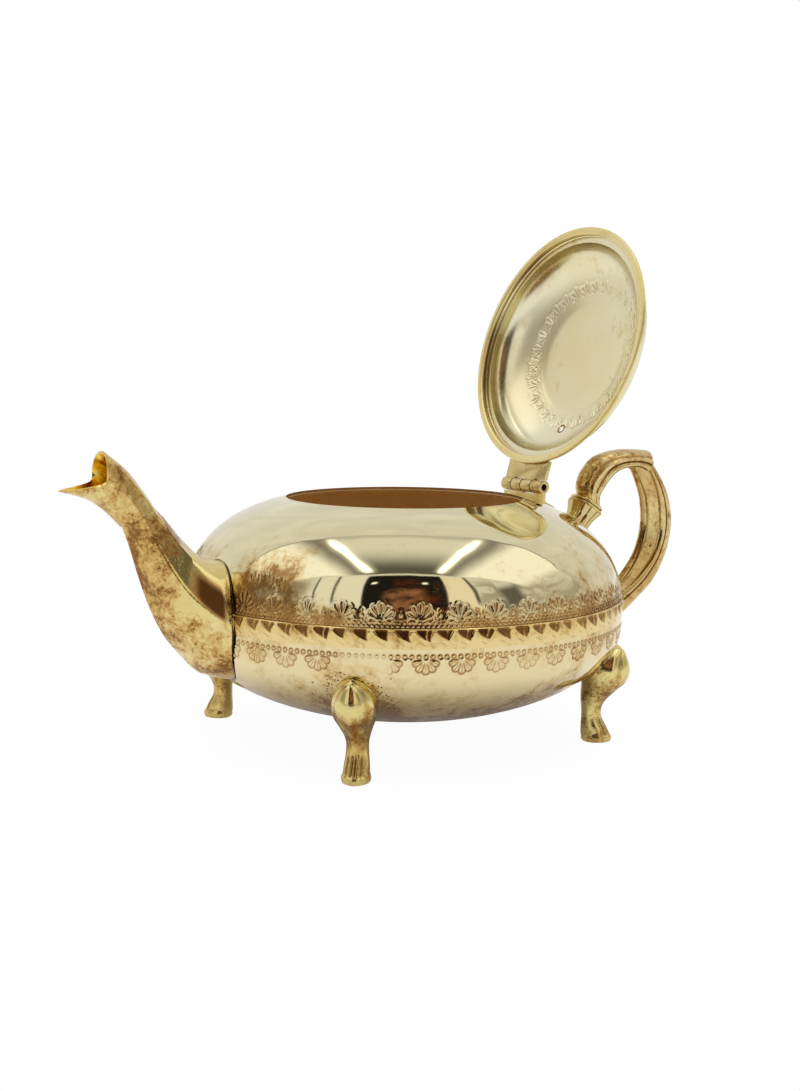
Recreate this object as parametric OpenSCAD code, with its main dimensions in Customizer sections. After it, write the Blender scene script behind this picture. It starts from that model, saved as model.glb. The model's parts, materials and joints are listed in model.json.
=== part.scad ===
// Footed brass teapot: a squat spun body on four cast feet, a swan-neck spout with a
// beak lip, a cast scroll handle and a domed lid on a knuckle hinge.
// Millimetres. +Z is up and the body's axis is the Z axis. The spout points to -X, the
// handle to +X, the feet stand on Z = 0, and the lid is drawn standing open.

/* [Body] */
// Widest radius of the spun body
body_r = 79.5; // [72:0.5:88]
// Height of the widest point above the table
belly_z = 41.5; // [38:0.5:46]
// Height of the upper curve, from the widest point to where it would close
upper_h = 47.6; // [43:0.2:53]
// Depth of the lower curve below the widest point
lower_h = 34.4; // [31:0.2:36]
// Squareness of the upper curve, where 2 is an ellipse
upper_square = 2.8; // [2.3:0.1:3.2]
// Squareness of the lower curve
lower_square = 1.95; // [1.8:0.05:2.2]
// Thickness of the spun sheet
wall = 1.2; // [0.8:0.1:1.6]
// Radius of the mouth
mouth_r = 42.9; // [38:0.1:46]

/* [Belly band] */
// Height of the band above the widest point, at its middle
band_rise = 7.6; // [6:0.1:8.6]
// Height of the band
band_h = 7.4; // [5:0.2:9]
// How far the band stands proud of the sheet
band_proud = 0.8; // [0.6:0.1:1.4]

/* [Feet] */
// How far the soles sit inside the widest radius
foot_inset = 7.9; // [6:0.1:10]
// Length of a sole, outwards
sole_l = 10.8; // [8:0.2:12]
// Width of a sole
sole_w = 9.6; // [8:0.2:12]
// Thickness of the ankle, outwards
ankle_l = 7.2; // [6:0.2:9]
// Width of the ankle
ankle_w = 7.6; // [6:0.2:9]
// Width of the knee
knee_w = 14.4; // [12:0.2:17]
// How far the knee stands out beyond the widest radius
knee_proud = 3.4; // [2:0.1:6]
// How far the tip of the knee leaf stops below the widest point
leaf_drop = 6.4; // [5:0.1:9]

/* [Spout] */
// Reach of the lip beyond the widest radius
spout_reach = 50.3; // [44:0.1:56]
// Height of the lip's tip above the widest point
lip_rise = 51.3; // [46:0.1:57]
// Half width of the spout where it meets the body
root_half_w = 17.4; // [14:0.1:19]
// Half height of the spout where it meets the body
root_half_h = 20.7; // [18:0.1:22]
// Height of the spout's root above the widest point, at its middle
root_rise = 5.2; // [3:0.1:7]
// Diameter of the neck at the joint with the beak
neck_d = 12.4; // [10:0.1:15]
// Width of the beak's mouth
mouth_w = 14.8; // [11:0.1:18]
// Wall of the spout castings
spout_wall = 1.5; // [1:0.1:2]
// Depth of the long facets, from 0 for round to 1 for flat
facet_depth = 0.7; // [0:0.1:1]
// Diameter of the strainer holes behind the spout
strainer_d = 3.4; // [2.5:0.1:4]
// Distance between the strainer holes
strainer_pitch = 7.2; // [6:0.1:8]

/* [Handle] */
// Reach of the handle beyond the widest radius
handle_reach = 51; // [46:0.5:60]
// Height of the handle's top above the widest point
handle_rise = 59.3; // [55:0.1:66]
// Width of the grip
grip_w = 14; // [11:0.2:17]
// Depth of the channel along the inside of the grip, as a share of its thickness
channel_depth = 0.2; // [0.05:0.05:0.3]
// Radius of the socket's collar
collar_r = 7.2; // [6.4:0.1:8.4]
// Thickness of each collar plate
collar_t = 1.1; // [0.8:0.1:1.6]
// Lean of the collar from the vertical, in degrees
collar_lean = 33; // [25:1:40]

/* [Lid] */
// How far the lid's rim ring reaches over the mouth
rim_over = 4.1; // [3.4:0.1:6]
// Width of the rim ring
rim_w = 2.9; // [2.2:0.1:3.4]
// Thickness of the rim ring
rim_t = 1.1; // [0.8:0.1:1.5]
// Depth of the step inside the lid, from the rim ring to the ledge
step_h = 2.3; // [2:0.1:3.5]
// Width of the ledge between the step and the dome
ledge_w = 2.6; // [1.5:0.1:4]
// Height of the dome above the ledge
dome_h = 14; // [11:0.5:18]
// Squareness of the dome's curve
dome_square = 2.2; // [2:0.1:2.8]
// Thickness of the dome's sheet
dome_wall = 1.0; // [0.8:0.1:1.4]
// Radius of the flat pressed in the crown
crown_r = 23; // [18:0.5:26]
// How far the crown's flat is raised
crown_step = 0.5; // [0.3:0.1:0.9]
// Diameter of the steam hole
vent_d = 2.4; // [1.6:0.1:3.2]
// Distance of the steam hole from the lid's centre
vent_at = 30; // [27:0.5:34]
// How far the lid stands open, in degrees from closed
open_angle = 106; // [92:1:112]

/* [Finial] */
// Height of the finial
finial_h = 16.5; // [12:0.5:20]
// Radius of the finial's bud
bud_r = 5.6; // [4.5:0.1:7]
// Radius of the finial's foot
finial_foot_r = 7.4; // [6:0.1:9]

/* [Hinge] */
// Distance from the lid's edge to the pin
hinge_reach = 8.3; // [7.5:0.1:10]
// Height of the pin above the lid's underside
pin_rise = 2.0; // [1.8:0.1:2.6]
// Width of the hinge
hinge_w = 24; // [20:1:30]
// Number of knuckles, shared in turn between the two leaves
knuckles = 4; // [3:1:5]
// Outer diameter of the knuckles
knuckle_d = 5.0; // [4.6:0.1:5.6]
// Diameter of the pin
pin_d = 2.4; // [2:0.1:2.8]
// Thickness of the leaves
leaf_t = 1.6; // [1.2:0.1:1.8]
// How far the pin stops short of the barrel's near end
pin_recess = 1.6; // [1:0.1:2.5]

/* [Clearances] */
// Solder gap between pieces that are joined
solder_gap = 0.1; // [0.05:0.01:0.2]
// Gap between the closed lid and the mouth's edge
seat_gap = 0.3; // [0.2:0.05:0.5]
// Gap between neighbouring knuckles
knuckle_gap = 0.2; // [0.1:0.05:0.3]
// Radial clearance of the pin in its holes
pin_gap = 0.05; // [0.03:0.01:0.08]
// Gap between a knuckle and the other leaf's cut-out
swing_gap = 0.3; // [0.2:0.05:0.4]

/* [Hidden] */
$fn = 96;
eps = 0.01;

BRASS = "darkkhaki";
CAST = "goldenrod";
POLISHED = "khaki";

// ---- sizes worked out from the driving ones ----
seam_z = belly_z + band_rise;
mouth_z = top_z(mouth_r);
lid_z = mouth_z + seat_gap;
lid_r = mouth_r + rim_over;
step_r = lid_r - rim_w;
dome_r = step_r - ledge_w + dome_wall;
dome_z = lid_z + step_h + dome_wall;
pin_x = lid_r + hinge_reach;
pin_z = lid_z + pin_rise;
knuckle_l = hinge_w / knuckles;
sole_u = body_r - foot_inset;
leaf_tip_z = belly_z - leaf_drop;
root_z = belly_z + root_rise;
// Steps along a quarter of a spun curve, and points round a cast section
curve_steps = 22;
section_points = 24;

// ---- the body's outline ----
// A superellipse: at(t) for t from 0 (widest) to 90 (axis).
function superellipse(t, a, b, n) = [a * pow(cos(t), 2 / n), b * pow(sin(t), 2 / n)];
// Where along that curve a given share of its height, or of its radius, is reached.
function t_of_height(share, n) = asin(pow(share, n / 2));
function t_of_radius(share, n) = acos(pow(share, n / 2));
function quarter(rise, share, n) = pow(max(0, 1 - pow(max(0, rise) / share, n)), 1 / n);
// Outer radius of the body at height z, and its height over radius r; grow offsets the skin.
function radius_at(z, grow = 0) = z >= belly_z
    ? (body_r + grow) * quarter(z - belly_z, upper_h + grow, upper_square)
    : (body_r + grow) * quarter(belly_z - z, lower_h + grow, lower_square);
function top_z(r, grow = 0) =
    belly_z + (upper_h + grow) * quarter(r, body_r + grow, upper_square);
// x of the body's side at height z and sideways offset y.
function side_x(z, y) = sqrt(pow(radius_at(z, solder_gap), 2) - y * y);
// A ring whose points are moved outwards along X wherever they would lie inside the body.
function clear_of_body(ring) = [for (p = ring)
    let (skin = radius_at(p[2], solder_gap) > abs(p[1]) ? side_x(p[2], p[1]) : 0)
    [sign(p[0]) * max(abs(p[0]), skin), p[1], p[2]]];

function upper_arc(t0, t1, grow) = [for (i = [0 : curve_steps])
    superellipse(t0 + (t1 - t0) * i / curve_steps, body_r + grow, upper_h + grow, upper_square)
    + [0, belly_z]];
function lower_arc(t0, t1, grow) = [for (i = [0 : curve_steps])
    let (p = superellipse(t0 + (t1 - t0) * i / curve_steps, body_r + grow, lower_h + grow,
                          lower_square))
    [p[0], belly_z - p[1]]];
function reversed(list) = [for (i = [len(list) - 1 : -1 : 0]) list[i]];

// The body as one solid, its skin moved out by grow: what its neighbours are cut with.
module body_solid(grow) {
    rotate_extrude()
        polygon(concat([[0, belly_z - lower_h - grow]],
                       reversed(lower_arc(0, 89, grow)),
                       upper_arc(1, 89, grow),
                       [[0, belly_z + upper_h + grow]]));
}

// ---- lofts ----
function lerp(a, b, t) = a + (b - a) * t;
// Between b and c, on a curve that passes through all four.
function catmull(a, b, c, d, t) = 0.5 * (2 * b + (c - a) * t
    + (2 * a - 5 * b + 4 * c - d) * t * t + (3 * b - a - 3 * c + d) * t * t * t);
// A smooth run of rings through a few key rings.
function spline(keys, steps) = let (last = len(keys) - 1) concat(
    [for (i = [0 : last - 1], s = [0 : steps - 1])
        catmull(keys[max(i - 1, 0)], keys[i], keys[i + 1], keys[min(i + 2, last)], s / steps)],
    [keys[last]]);
function centre(ring) = [for (p = ring) 1] * ring / len(ring);
// A smaller copy of a ring that lies on the body's skin, at +X: the dished end of a casting.
function seated(ring, share) = let (c = centre(ring)) [for (p = ring)
    let (q = lerp(c, p, share)) [side_x(q[2], q[1]), q[1], q[2]]];
// Each point of a ring moved towards the ring's centre.
function inset(ring, by) = let (c = centre(ring))
    [for (p = ring) p + (c - p) / norm(c - p) * by];

function side_faces(rings, n, first) = [for (i = [0 : rings - 2], j = [0 : n - 1])
    let (a = first + i * n + j, b = first + i * n + (j + 1) % n) each
    [[a, a + n, b + n], [a, b + n, b]]];
function flipped(faces) = [for (f = faces) reversed(f)];

// A closed solid through rings of points, which run anticlockwise seen from the last ring.
module skin(rings) {
    n = len(rings[0]);
    m = len(rings);
    low = m * n;
    polyhedron(
        points = concat([for (ring = rings) each ring], [centre(rings[0]), centre(rings[m - 1])]),
        faces = concat(side_faces(m, n, 0),
                       [for (j = [0 : n - 1]) [low, j, (j + 1) % n]],
                       [for (j = [0 : n - 1]) [low + 1, (m - 1) * n + (j + 1) % n,
                                               (m - 1) * n + j]]));
}

// A tube between an outer and an inner skin, open at both ends.
module tube(outer, inner) {
    n = len(outer[0]);
    m = len(outer);
    in0 = m * n;
    end = (m - 1) * n;
    polyhedron(
        points = concat([for (ring = outer) each ring], [for (ring = inner) each ring]),
        faces = concat(side_faces(m, n, 0), flipped(side_faces(m, n, in0)),
            [for (j = [0 : n - 1]) let (k = (j + 1) % n) each
                [[j, k, in0 + k], [j, in0 + k, in0 + j]]],
            [for (j = [0 : n - 1]) let (k = (j + 1) % n) each
                [[end + j, in0 + end + k, end + k], [end + j, in0 + end + j, in0 + end + k]]]));
}

// ---- body ----
module body_upper() {
    color(BRASS)
    difference() {
        rotate_extrude()
            polygon(concat(
                upper_arc(t_of_height(band_rise / upper_h, upper_square),
                          t_of_radius(mouth_r / body_r, upper_square), 0),
                reversed(upper_arc(t_of_height(band_rise / (upper_h - wall), upper_square),
                                   t_of_radius(mouth_r / (body_r - wall), upper_square), -wall))));
        strainer_holes();
    }
}

module body_lower() {
    color(BRASS)
    difference() {
        rotate_extrude()
            polygon(concat(
                [[0, belly_z - lower_h]],
                reversed(lower_arc(0, 89, 0)),
                [[radius_at(seam_z), seam_z], [radius_at(seam_z, -wall), seam_z]],
                lower_arc(0, 89, -wall),
                [[0, belly_z - lower_h + wall]]));
        strainer_holes();
    }
}

// Two rows of holes above the seam and two below it, inside the spout's root.
module strainer_holes() {
    for (row = [-2, -1, 1, 2])
        let (count = 4 - abs(row))
        for (i = [0 : count - 1])
            translate([-body_r, (i - (count - 1) / 2) * strainer_pitch,
                       seam_z + row * strainer_pitch * sin(60)])
                rotate([0, 90, 0])
                    cylinder(d = strainer_d, h = body_r * 0.6, center = true);
}

// A half-round band soldered over the seam. It stops either side of the spout's root.
module belly_band() {
    low = seam_z - band_h / 2;
    color(POLISHED)
    difference() {
        rotate_extrude()
            polygon(concat(
                [for (i = [0 : 6]) let (z = low + band_h * i / 6) [radius_at(z, solder_gap), z]],
                [for (a = [0 : 15 : 180])
                    let (z = seam_z + cos(a) * band_h / 2)
                    [radius_at(z, band_proud * (0.3 + 0.7 * sin(a))), z]]));
        translate([-body_r * 1.5, -root_half_w - solder_gap, low - 1])
            cube([body_r, 2 * (root_half_w + solder_gap), band_h + 2]);
    }
}

// ---- feet ----
// Key slices up the leg: [height, back, front, half width]. The shin's heights are shares of
// the sole-to-knee height, so a taller belly stretches the leg.
function foot_slices() = let (
    h = leaf_tip_z,
    heel = sole_u - sole_l / 2,
    toe = sole_u + sole_l / 2,
    shin = heel + ankle_l,
    knee = body_r + knee_proud,
    back = heel - 0.5) [
    [0,        heel + 0.5, toe - 0.3,              sole_w / 2 - 0.3],
    [0.03 * h, heel,       toe,                    sole_w / 2],
    [0.08 * h, heel - 0.2, toe - 0.3,              sole_w / 2 - 0.2],
    [0.15 * h, heel - 0.2, lerp(shin, toe, 0.5),   lerp(ankle_w, sole_w, 0.4) / 2],
    [0.25 * h, heel - 0.1, shin,                   ankle_w / 2],
    [0.35 * h, back + 0.3, shin,                   ankle_w / 2 - 0.1],
    [0.43 * h, back,       lerp(shin, knee, 0.16), lerp(ankle_w, knee_w, 0.14) / 2],
    [0.51 * h, back,       lerp(shin, knee, 0.48), lerp(ankle_w, knee_w, 0.46) / 2],
    [0.61 * h, back,       lerp(shin, knee, 0.88), lerp(ankle_w, knee_w, 0.88) / 2],
    [0.71 * h, back,       knee,                   knee_w / 2],
    [0.80 * h, back,       knee,                   knee_w / 2 - 0.2],
    [0.88 * h, back,       lerp(body_r, knee, 0.55), knee_w * 0.38],
    [0.95 * h, back,       body_r + 0.3,           knee_w * 0.2],
    [h,        back,       body_r - 0.6,           knee_w * 0.05]];

// One slice as a ring: an oval whose back lies on the body's skin wherever that is nearer.
// The front is drawn in to a ridge, as the casting has.
function foot_ring(s) = let (mid = (s[1] + s[2]) / 2, half = (s[2] - s[1]) / 2)
    [for (j = [0 : 19]) let (
        a = 360 * j / 20,
        v = s[3] * sin(a) * (1 - 0.12 * cos(a)),
        u = mid + half * cos(a),
        skin_r = radius_at(s[0], solder_gap))
        [max(u, skin_r > abs(v) ? sqrt(skin_r * skin_r - v * v) : 0), v, s[0]]];

module foot(angle) {
    color(CAST)
    rotate([0, 0, angle])
        skin([for (s = spline(foot_slices(), 2)) foot_ring(s)]);
}

// ---- spout ----
// Cross sections follow an octagon whose corners are softened.
function facet(a) = lerp(1, cos(22.5) / cos(a % 45 - 22.5), facet_depth);
// A ring between an upper and a lower point of the side view, both [out, up] from the body's
// widest point, w to each side.
function spout_ring(top, bottom, w) = let (c = (top + bottom) / 2, h = (top - bottom) / 2)
    [for (j = [0 : section_points - 1]) let (a = 360 * j / section_points, f = facet(a))
        [-(body_r + c[0] + h[0] * sin(a) * f), -w * cos(a) * f, belly_z + c[1] + h[1] * sin(a) * f]];

// The root's ring lies on the body's skin.
function root_ring() = [for (j = [0 : section_points - 1]) let (
    a = 360 * j / section_points,
    y = -root_half_w * cos(a),
    z = root_z + root_half_h * sin(a))
    [-side_x(z, y), y, z]];

// The joint with the beak lies square to the neck, which leans out at neck_lean.
neck_lean = 57;
joint_centre = [spout_reach - 26.2, lip_rise - 8.9];
joint_across = [-sin(neck_lean), cos(neck_lean)] * neck_d / 2;

function neck_rings() = let (
    crown = [root_half_h + root_rise, root_half_h - root_rise],
    j = joint_centre) [
    root_ring(),
    spout_ring([0.4, crown[0] + 1.2], [2.2, -crown[1] + 3.6], root_half_w * 0.98),
    spout_ring([4.0, crown[0] + 3.6], [8.6, -crown[1] + 9.6], root_half_w * 0.88),
    spout_ring([8.0, crown[0] + 7.4], [15.3, -crown[1] + 17.8], root_half_w * 0.74),
    spout_ring(j + [-12.4, -4.8], j + [-3.6, -29.6], lerp(neck_d / 2, root_half_w, 0.38)),
    spout_ring(j + [-9.2, -0.8], j + [0.1, -19.0], lerp(neck_d / 2, root_half_w, 0.18)),
    spout_ring(j + [-7.2, 1.2], j + [2.9, -9.6], lerp(neck_d / 2, root_half_w, 0.05)),
    spout_ring(j + joint_across, j - joint_across, neck_d / 2)];

module spout_neck() {
    rings = [for (ring = spline(neck_rings(), 3)) clear_of_body(ring)];
    color(BRASS)
    tube(rings, [for (ring = rings) clear_of_body(inset(ring, spout_wall))]);
}

// The rim runs from the hood's peak down both sides and out along a pointed lip.
// The mouth is widest at mouth_rise above the lip's tip and mouth_back behind it.
mouth_back = 14;
mouth_rise = 5.2;
hood_rise = 12.4;
function rim_ring() = [for (j = [0 : section_points - 1]) let (
    a = 360 * j / section_points,
    low = max(0, -sin(a)),
    high = max(0, sin(a)),
    out = spout_reach - mouth_back * (1 - pow(low, 4)) - 0.7 * high * high,
    up = lip_rise + mouth_rise * (1 - pow(low, 0.8)) + (hood_rise - mouth_rise) * pow(high, 1.1),
    w = mouth_w / 2 * sign(cos(a)) * pow(abs(cos(a)), 0.8))
    [-(body_r + out), -w, belly_z + up]];

module spout_beak() {
    j = joint_centre;
    keys = [
        spout_ring(j + joint_across + gap_up(), j - joint_across + gap_up(), neck_d / 2),
        spout_ring(j + [-1.4, 9.2], j + [11.2, 2.2], lerp(neck_d, mouth_w, 0.1) / 2),
        spout_ring(j + [3.8, 15.4], j + [16.9, 6.0], lerp(neck_d, mouth_w, 0.5) / 2),
        rim_ring()];
    rings = spline(keys, 4);
    color(BRASS)
    tube(rings, [for (i = [0 : len(rings) - 1])
        inset(rings[i], lerp(spout_wall, spout_wall * 0.6, i / (len(rings) - 1)))]);
}
function gap_up() = [cos(neck_lean), sin(neck_lean)] * solder_gap;

// ---- handle ----
// Both outlines of the side view, [out, up] from the body's widest point, and the width.
// The last two rings turn level and land on the body's skin.
collar_at = [5.8, 36.4];
collar_dir = [sin(collar_lean), cos(collar_lean)];
collar_side = [-cos(collar_lean), sin(collar_lean)];
handle_land_z = -4.5;
function handle_stations() = let (
    r = handle_reach, t = handle_rise,
    foot = collar_at + collar_dir * (2 * collar_t + solder_gap)) [
    [foot + collar_side * 4.9, foot - collar_side * 4.9, grip_w * 0.76],
    [[r - 48.8, t - 13.2], [r - 40.6, t - 18.2], grip_w * 0.72],
    [[r - 45.9, t - 7.0],  [r - 38.2, t - 14.0], grip_w * 0.78],
    [[r - 40.1, t - 2.4],  [r - 34.2, t - 9.6],  grip_w * 0.86],
    [[r - 31.5, t - 0.3],  [r - 29.2, t - 7.2],  grip_w * 0.93],
    [[r - 22.2, t],        [r - 22.4, t - 6.8],  grip_w],
    [[r - 14.2, t - 1.3],  [r - 17.2, t - 8.2],  grip_w],
    [[r - 12.6, t - 3.8],  [r - 15.6, t - 9.6],  grip_w],
    [[r - 7.2, t - 11.4],  [r - 13.2, t - 13.8], grip_w],
    [[r - 2.4, t - 18.8],  [r - 10.6, t - 20.4], grip_w],
    [[r, t - 27.8],        [r - 9.5, t - 28.4],  grip_w],
    [[r - 0.5, t - 36.4],  [r - 10.2, t - 35.8], grip_w],
    [[r - 3.3, t - 45.8],  [r - 13.3, t - 43.4], grip_w * 0.97],
    [[r - 8.9, t - 54.8],  [r - 18.5, t - 49.8], grip_w * 0.92],
    [[r - 16.3, t - 60.9], [r - 24.5, t - 55.0], grip_w * 0.86],
    [[r - 25.5, handle_land_z - 3.6], [r - 31.2, handle_land_z + 5.2], grip_w * 0.8],
    [[r - 35, handle_land_z - 5.0], [r - 38, handle_land_z + 3.8], grip_w * 0.76],
    [[r - 43.5, handle_land_z - 5.2], [r - 44, handle_land_z + 4.2], grip_w * 0.78]];

// Section of the grip: [share of the thickness, share of the half width], with a shallow
// channel along the inside and a rounded ridge along the outside.
grip_section = [
    [0, -0.84], [channel_depth * 0.8, -0.5], [channel_depth, 0], [channel_depth * 0.8, 0.5],
    [0, 0.84], [0.1, 1], [0.4, 0.98], [0.7, 0.74], [0.92, 0.38], [1, 0],
    [0.92, -0.38], [0.7, -0.74], [0.4, -0.98], [0.1, -1]];
function grip_ring(s) = [for (p = grip_section) let (q = lerp(s[1], s[0], p[0]))
    [body_r + q[0], p[1] * s[2] / 2, belly_z + q[1]]];
// The landing: the last section pushed against the body, a little larger.
function landing_ring(s) = let (c = belly_z + (s[0][1] + s[1][1]) / 2)
    [for (p = grip_section) let (
        y = p[1] * s[2] * 0.55,
        z = c + (belly_z + lerp(s[1], s[0], p[0])[1] - c) * 1.15)
        [side_x(z, y), y, z]];

module collar_plate(from, t, r) {
    p = collar_at + collar_dir * from;
    translate([body_r + p[0], 0, belly_z + p[1]])
        rotate([0, collar_lean, 0])
            cylinder(r = r, h = t);
}

module handle() {
    stations = handle_stations();
    landing = landing_ring(stations[len(stations) - 1]);
    rings = concat([for (s = spline(stations, 3)) grip_ring(s)],
                   [for (share = [1, 0.55, 0.1]) seated(landing, share)]);
    color(CAST) {
        skin(rings);
        collar_plate(collar_t + solder_gap, collar_t + 0.6, collar_r * 0.93);
    }
}

// A faceted cup that rises from the body's shoulder to the collar.
function socket_ring(top, bottom, w) = [for (j = [0 : section_points - 1]) let (
    a = 360 * j / section_points, f = facet(a), c = (top + bottom) / 2, h = (top - bottom) / 2)
    [body_r + c[0] + h[0] * sin(a) * f, w * cos(a) * f, belly_z + c[1] + h[1] * sin(a) * f]];
function socket_root(low, high, w) = [for (j = [0 : section_points - 1]) let (
    a = 360 * j / section_points,
    y = w * cos(a),
    z = belly_z + (low + high) / 2 + (high - low) / 2 * sin(a))
    [side_x(z, y), y, z]];

module handle_socket() {
    c = collar_at;
    s = collar_side * collar_r;
    root = socket_root(17.5, 30, 6.6);
    rings = spline([
        root,
        socket_ring(c + [-9.2, -3.0], c + [-2.6, -12.6], 5.2),
        socket_ring(c - collar_dir * 4.2 + s * 0.76, c - collar_dir * 4.2 - s * 0.76,
                    collar_r * 0.76),
        socket_ring(c + s * 0.97, c - s * 0.97, collar_r * 0.97)], 3);
    color(CAST) {
        skin(concat([seated(root, 0.1), seated(root, 0.55)],
                    [for (ring = rings) clear_of_body(ring)]));
        collar_plate(-eps, collar_t, collar_r);
    }
}

// ---- hinge ----
// The barrel's knuckles are counted from the near end, -Y: even ones belong to the body leaf.
module knuckle(i, r) {
    translate([pin_x, -hinge_w / 2 + i * knuckle_l + knuckle_gap / 2, pin_z])
        rotate([-90, 0, 0])
            cylinder(r = r, h = knuckle_l - knuckle_gap);
}
module knuckle_room(i) {
    translate([pin_x, -hinge_w / 2 + i * knuckle_l - knuckle_gap / 2, pin_z])
        rotate([-90, 0, 0])
            cylinder(r = knuckle_d / 2 + swing_gap, h = knuckle_l + knuckle_gap);
}
module pin_hole() {
    translate([pin_x, -hinge_w, pin_z])
        rotate([-90, 0, 0])
            cylinder(r = pin_d / 2 + pin_gap, h = 2 * hinge_w);
}

// An upright web under the barrel, on a tab that follows the body's shoulder.
module hinge_body_leaf() {
    tab_out = 5.5;
    web_foot = top_z(pin_x + tab_out) - 4;
    color(POLISHED)
    difference() {
        union() {
            for (i = [0 : 2 : knuckles - 1]) knuckle(i, knuckle_d / 2);
            difference() {
                translate([pin_x - leaf_t / 2, -hinge_w / 2 + knuckle_gap / 2, web_foot])
                    cube([leaf_t, hinge_w - knuckle_gap, pin_z - web_foot]);
                for (i = [1 : 2 : knuckles - 1]) knuckle_room(i);
            }
            intersection() {
                translate([pin_x - leaf_t / 2, -hinge_w / 2 + knuckle_gap / 2, web_foot])
                    cube([tab_out + leaf_t / 2, hinge_w - knuckle_gap, pin_z - web_foot]);
                body_solid(solder_gap + leaf_t * 0.75);
            }
        }
        body_solid(solder_gap);
        pin_hole();
    }
}

module hinge_pin() {
    color("saddlebrown")
    translate([pin_x, -hinge_w / 2 + pin_recess, pin_z])
        rotate([-90, 0, 0])
            cylinder(d = pin_d, h = hinge_w - pin_recess - 0.4);
}

// Turns a piece drawn on the closed lid to where the lid stands open.
module on_open_lid() {
    translate([pin_x, 0, pin_z])
        rotate([0, open_angle, 0])
            translate([-pin_x, 0, -pin_z])
                children();
}

// A plate from the knuckles over the rim ring, where it is soldered.
module hinge_lid_leaf() {
    under = lid_z + rim_t + solder_gap;
    end_x = step_r + dome_wall + solder_gap;
    color(POLISHED)
    on_open_lid()
        difference() {
            union() {
                for (i = [1 : 2 : knuckles - 1]) knuckle(i, knuckle_d / 2);
                difference() {
                    translate([end_x, -hinge_w / 2 + knuckle_gap / 2, under])
                        cube([pin_x - end_x, hinge_w - knuckle_gap, leaf_t]);
                    for (i = [0 : 2 : knuckles - 1]) knuckle_room(i);
                }
            }
            pin_hole();
        }
}

// ---- lid, drawn closed ----
function dome_arc(grow) = [for (i = [0 : curve_steps])
    let (t = t_of_radius((crown_r + 0.6) / dome_r, dome_square))
    superellipse(t * i / curve_steps, dome_r + grow, dome_h + grow, dome_square) + [0, dome_z]];
crown_z = let (arc = dome_arc(0)) arc[len(arc) - 1][1] + crown_step;
// Rise of the crown's middle over its edge
crown_swell = 0.4;

// A spun cap: an upright step, a ledge, a dome and a raised disc in the crown.
module lid_dome() {
    foot_z = lid_z + rim_t + solder_gap;
    corner = dome_wall / 2;
    color(BRASS)
    on_open_lid()
        difference() {
            rotate_extrude()
                polygon(concat(
                    [[step_r, foot_z], [step_r + dome_wall, foot_z],
                     [step_r + dome_wall, dome_z - corner], [step_r + corner, dome_z]],
                    dome_arc(0),
                    [[crown_r, crown_z], [0, crown_z + crown_swell],
                     [0, crown_z + crown_swell - dome_wall], [crown_r - 0.4, crown_z - dome_wall]],
                    reversed(dome_arc(-dome_wall)),
                    [[dome_r - dome_wall, dome_z - dome_wall], [step_r, dome_z - dome_wall]]));
            translate([vent_at, 0, lid_z])
                cylinder(d = vent_d, h = dome_h * 2);
        }
}

// The flat ring that stiffens the lid's edge and rests round the mouth.
module lid_rim() {
    edge = rim_t * 0.35;
    color(POLISHED)
    on_open_lid()
        rotate_extrude()
            polygon([[step_r, lid_z], [lid_r - edge, lid_z], [lid_r, lid_z + edge],
                     [lid_r, lid_z + rim_t - edge], [lid_r - edge, lid_z + rim_t],
                     [step_r, lid_z + rim_t]]);
}

// A turned bud on a moulded foot, soldered to the crown.
module finial() {
    base = crown_z + crown_swell + solder_gap;
    stem_z = finial_h * 0.3;
    bud_z = finial_h * 0.56;
    color(CAST)
    on_open_lid()
        translate([0, 0, base])
            rotate_extrude()
                polygon(concat(
                    [[0, 0], [finial_foot_r, 0], [finial_foot_r, 0.7], [finial_foot_r - 1, 1.5],
                     [finial_foot_r * 0.6, 2.2], [bud_r * 0.42, stem_z * 0.75],
                     [bud_r * 0.42, stem_z], [bud_r * 0.7, stem_z + 0.8]],
                    [for (a = [-50 : 10 : 60])
                        [bud_r * cos(a), bud_z + (bud_z - stem_z - 0.8) * 1.2 * sin(a)]],
                    [[bud_r * 0.3, finial_h - 0.8], [bud_r * 0.18, finial_h - 0.1],
                     [0, finial_h]]));
}

body_upper();
body_lower();
belly_band();
foot(135);  // foot_front_left
foot(225);  // foot_front_right
foot(45);  // foot_rear_left
foot(315);  // foot_rear_right
spout_neck();
spout_beak();
handle_socket();
handle();
hinge_body_leaf();
hinge_pin();
hinge_lid_leaf();
lid_dome();
lid_rim();
finial();
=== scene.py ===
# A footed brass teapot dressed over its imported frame: a chased spun body, a faceted
# swan-neck spout, cast handle and feet, and a domed lid standing open on a knuckle hinge.
import json
import math
from functools import partial

import bmesh
import bpy
from mathutils import Matrix, Vector, noise


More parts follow.
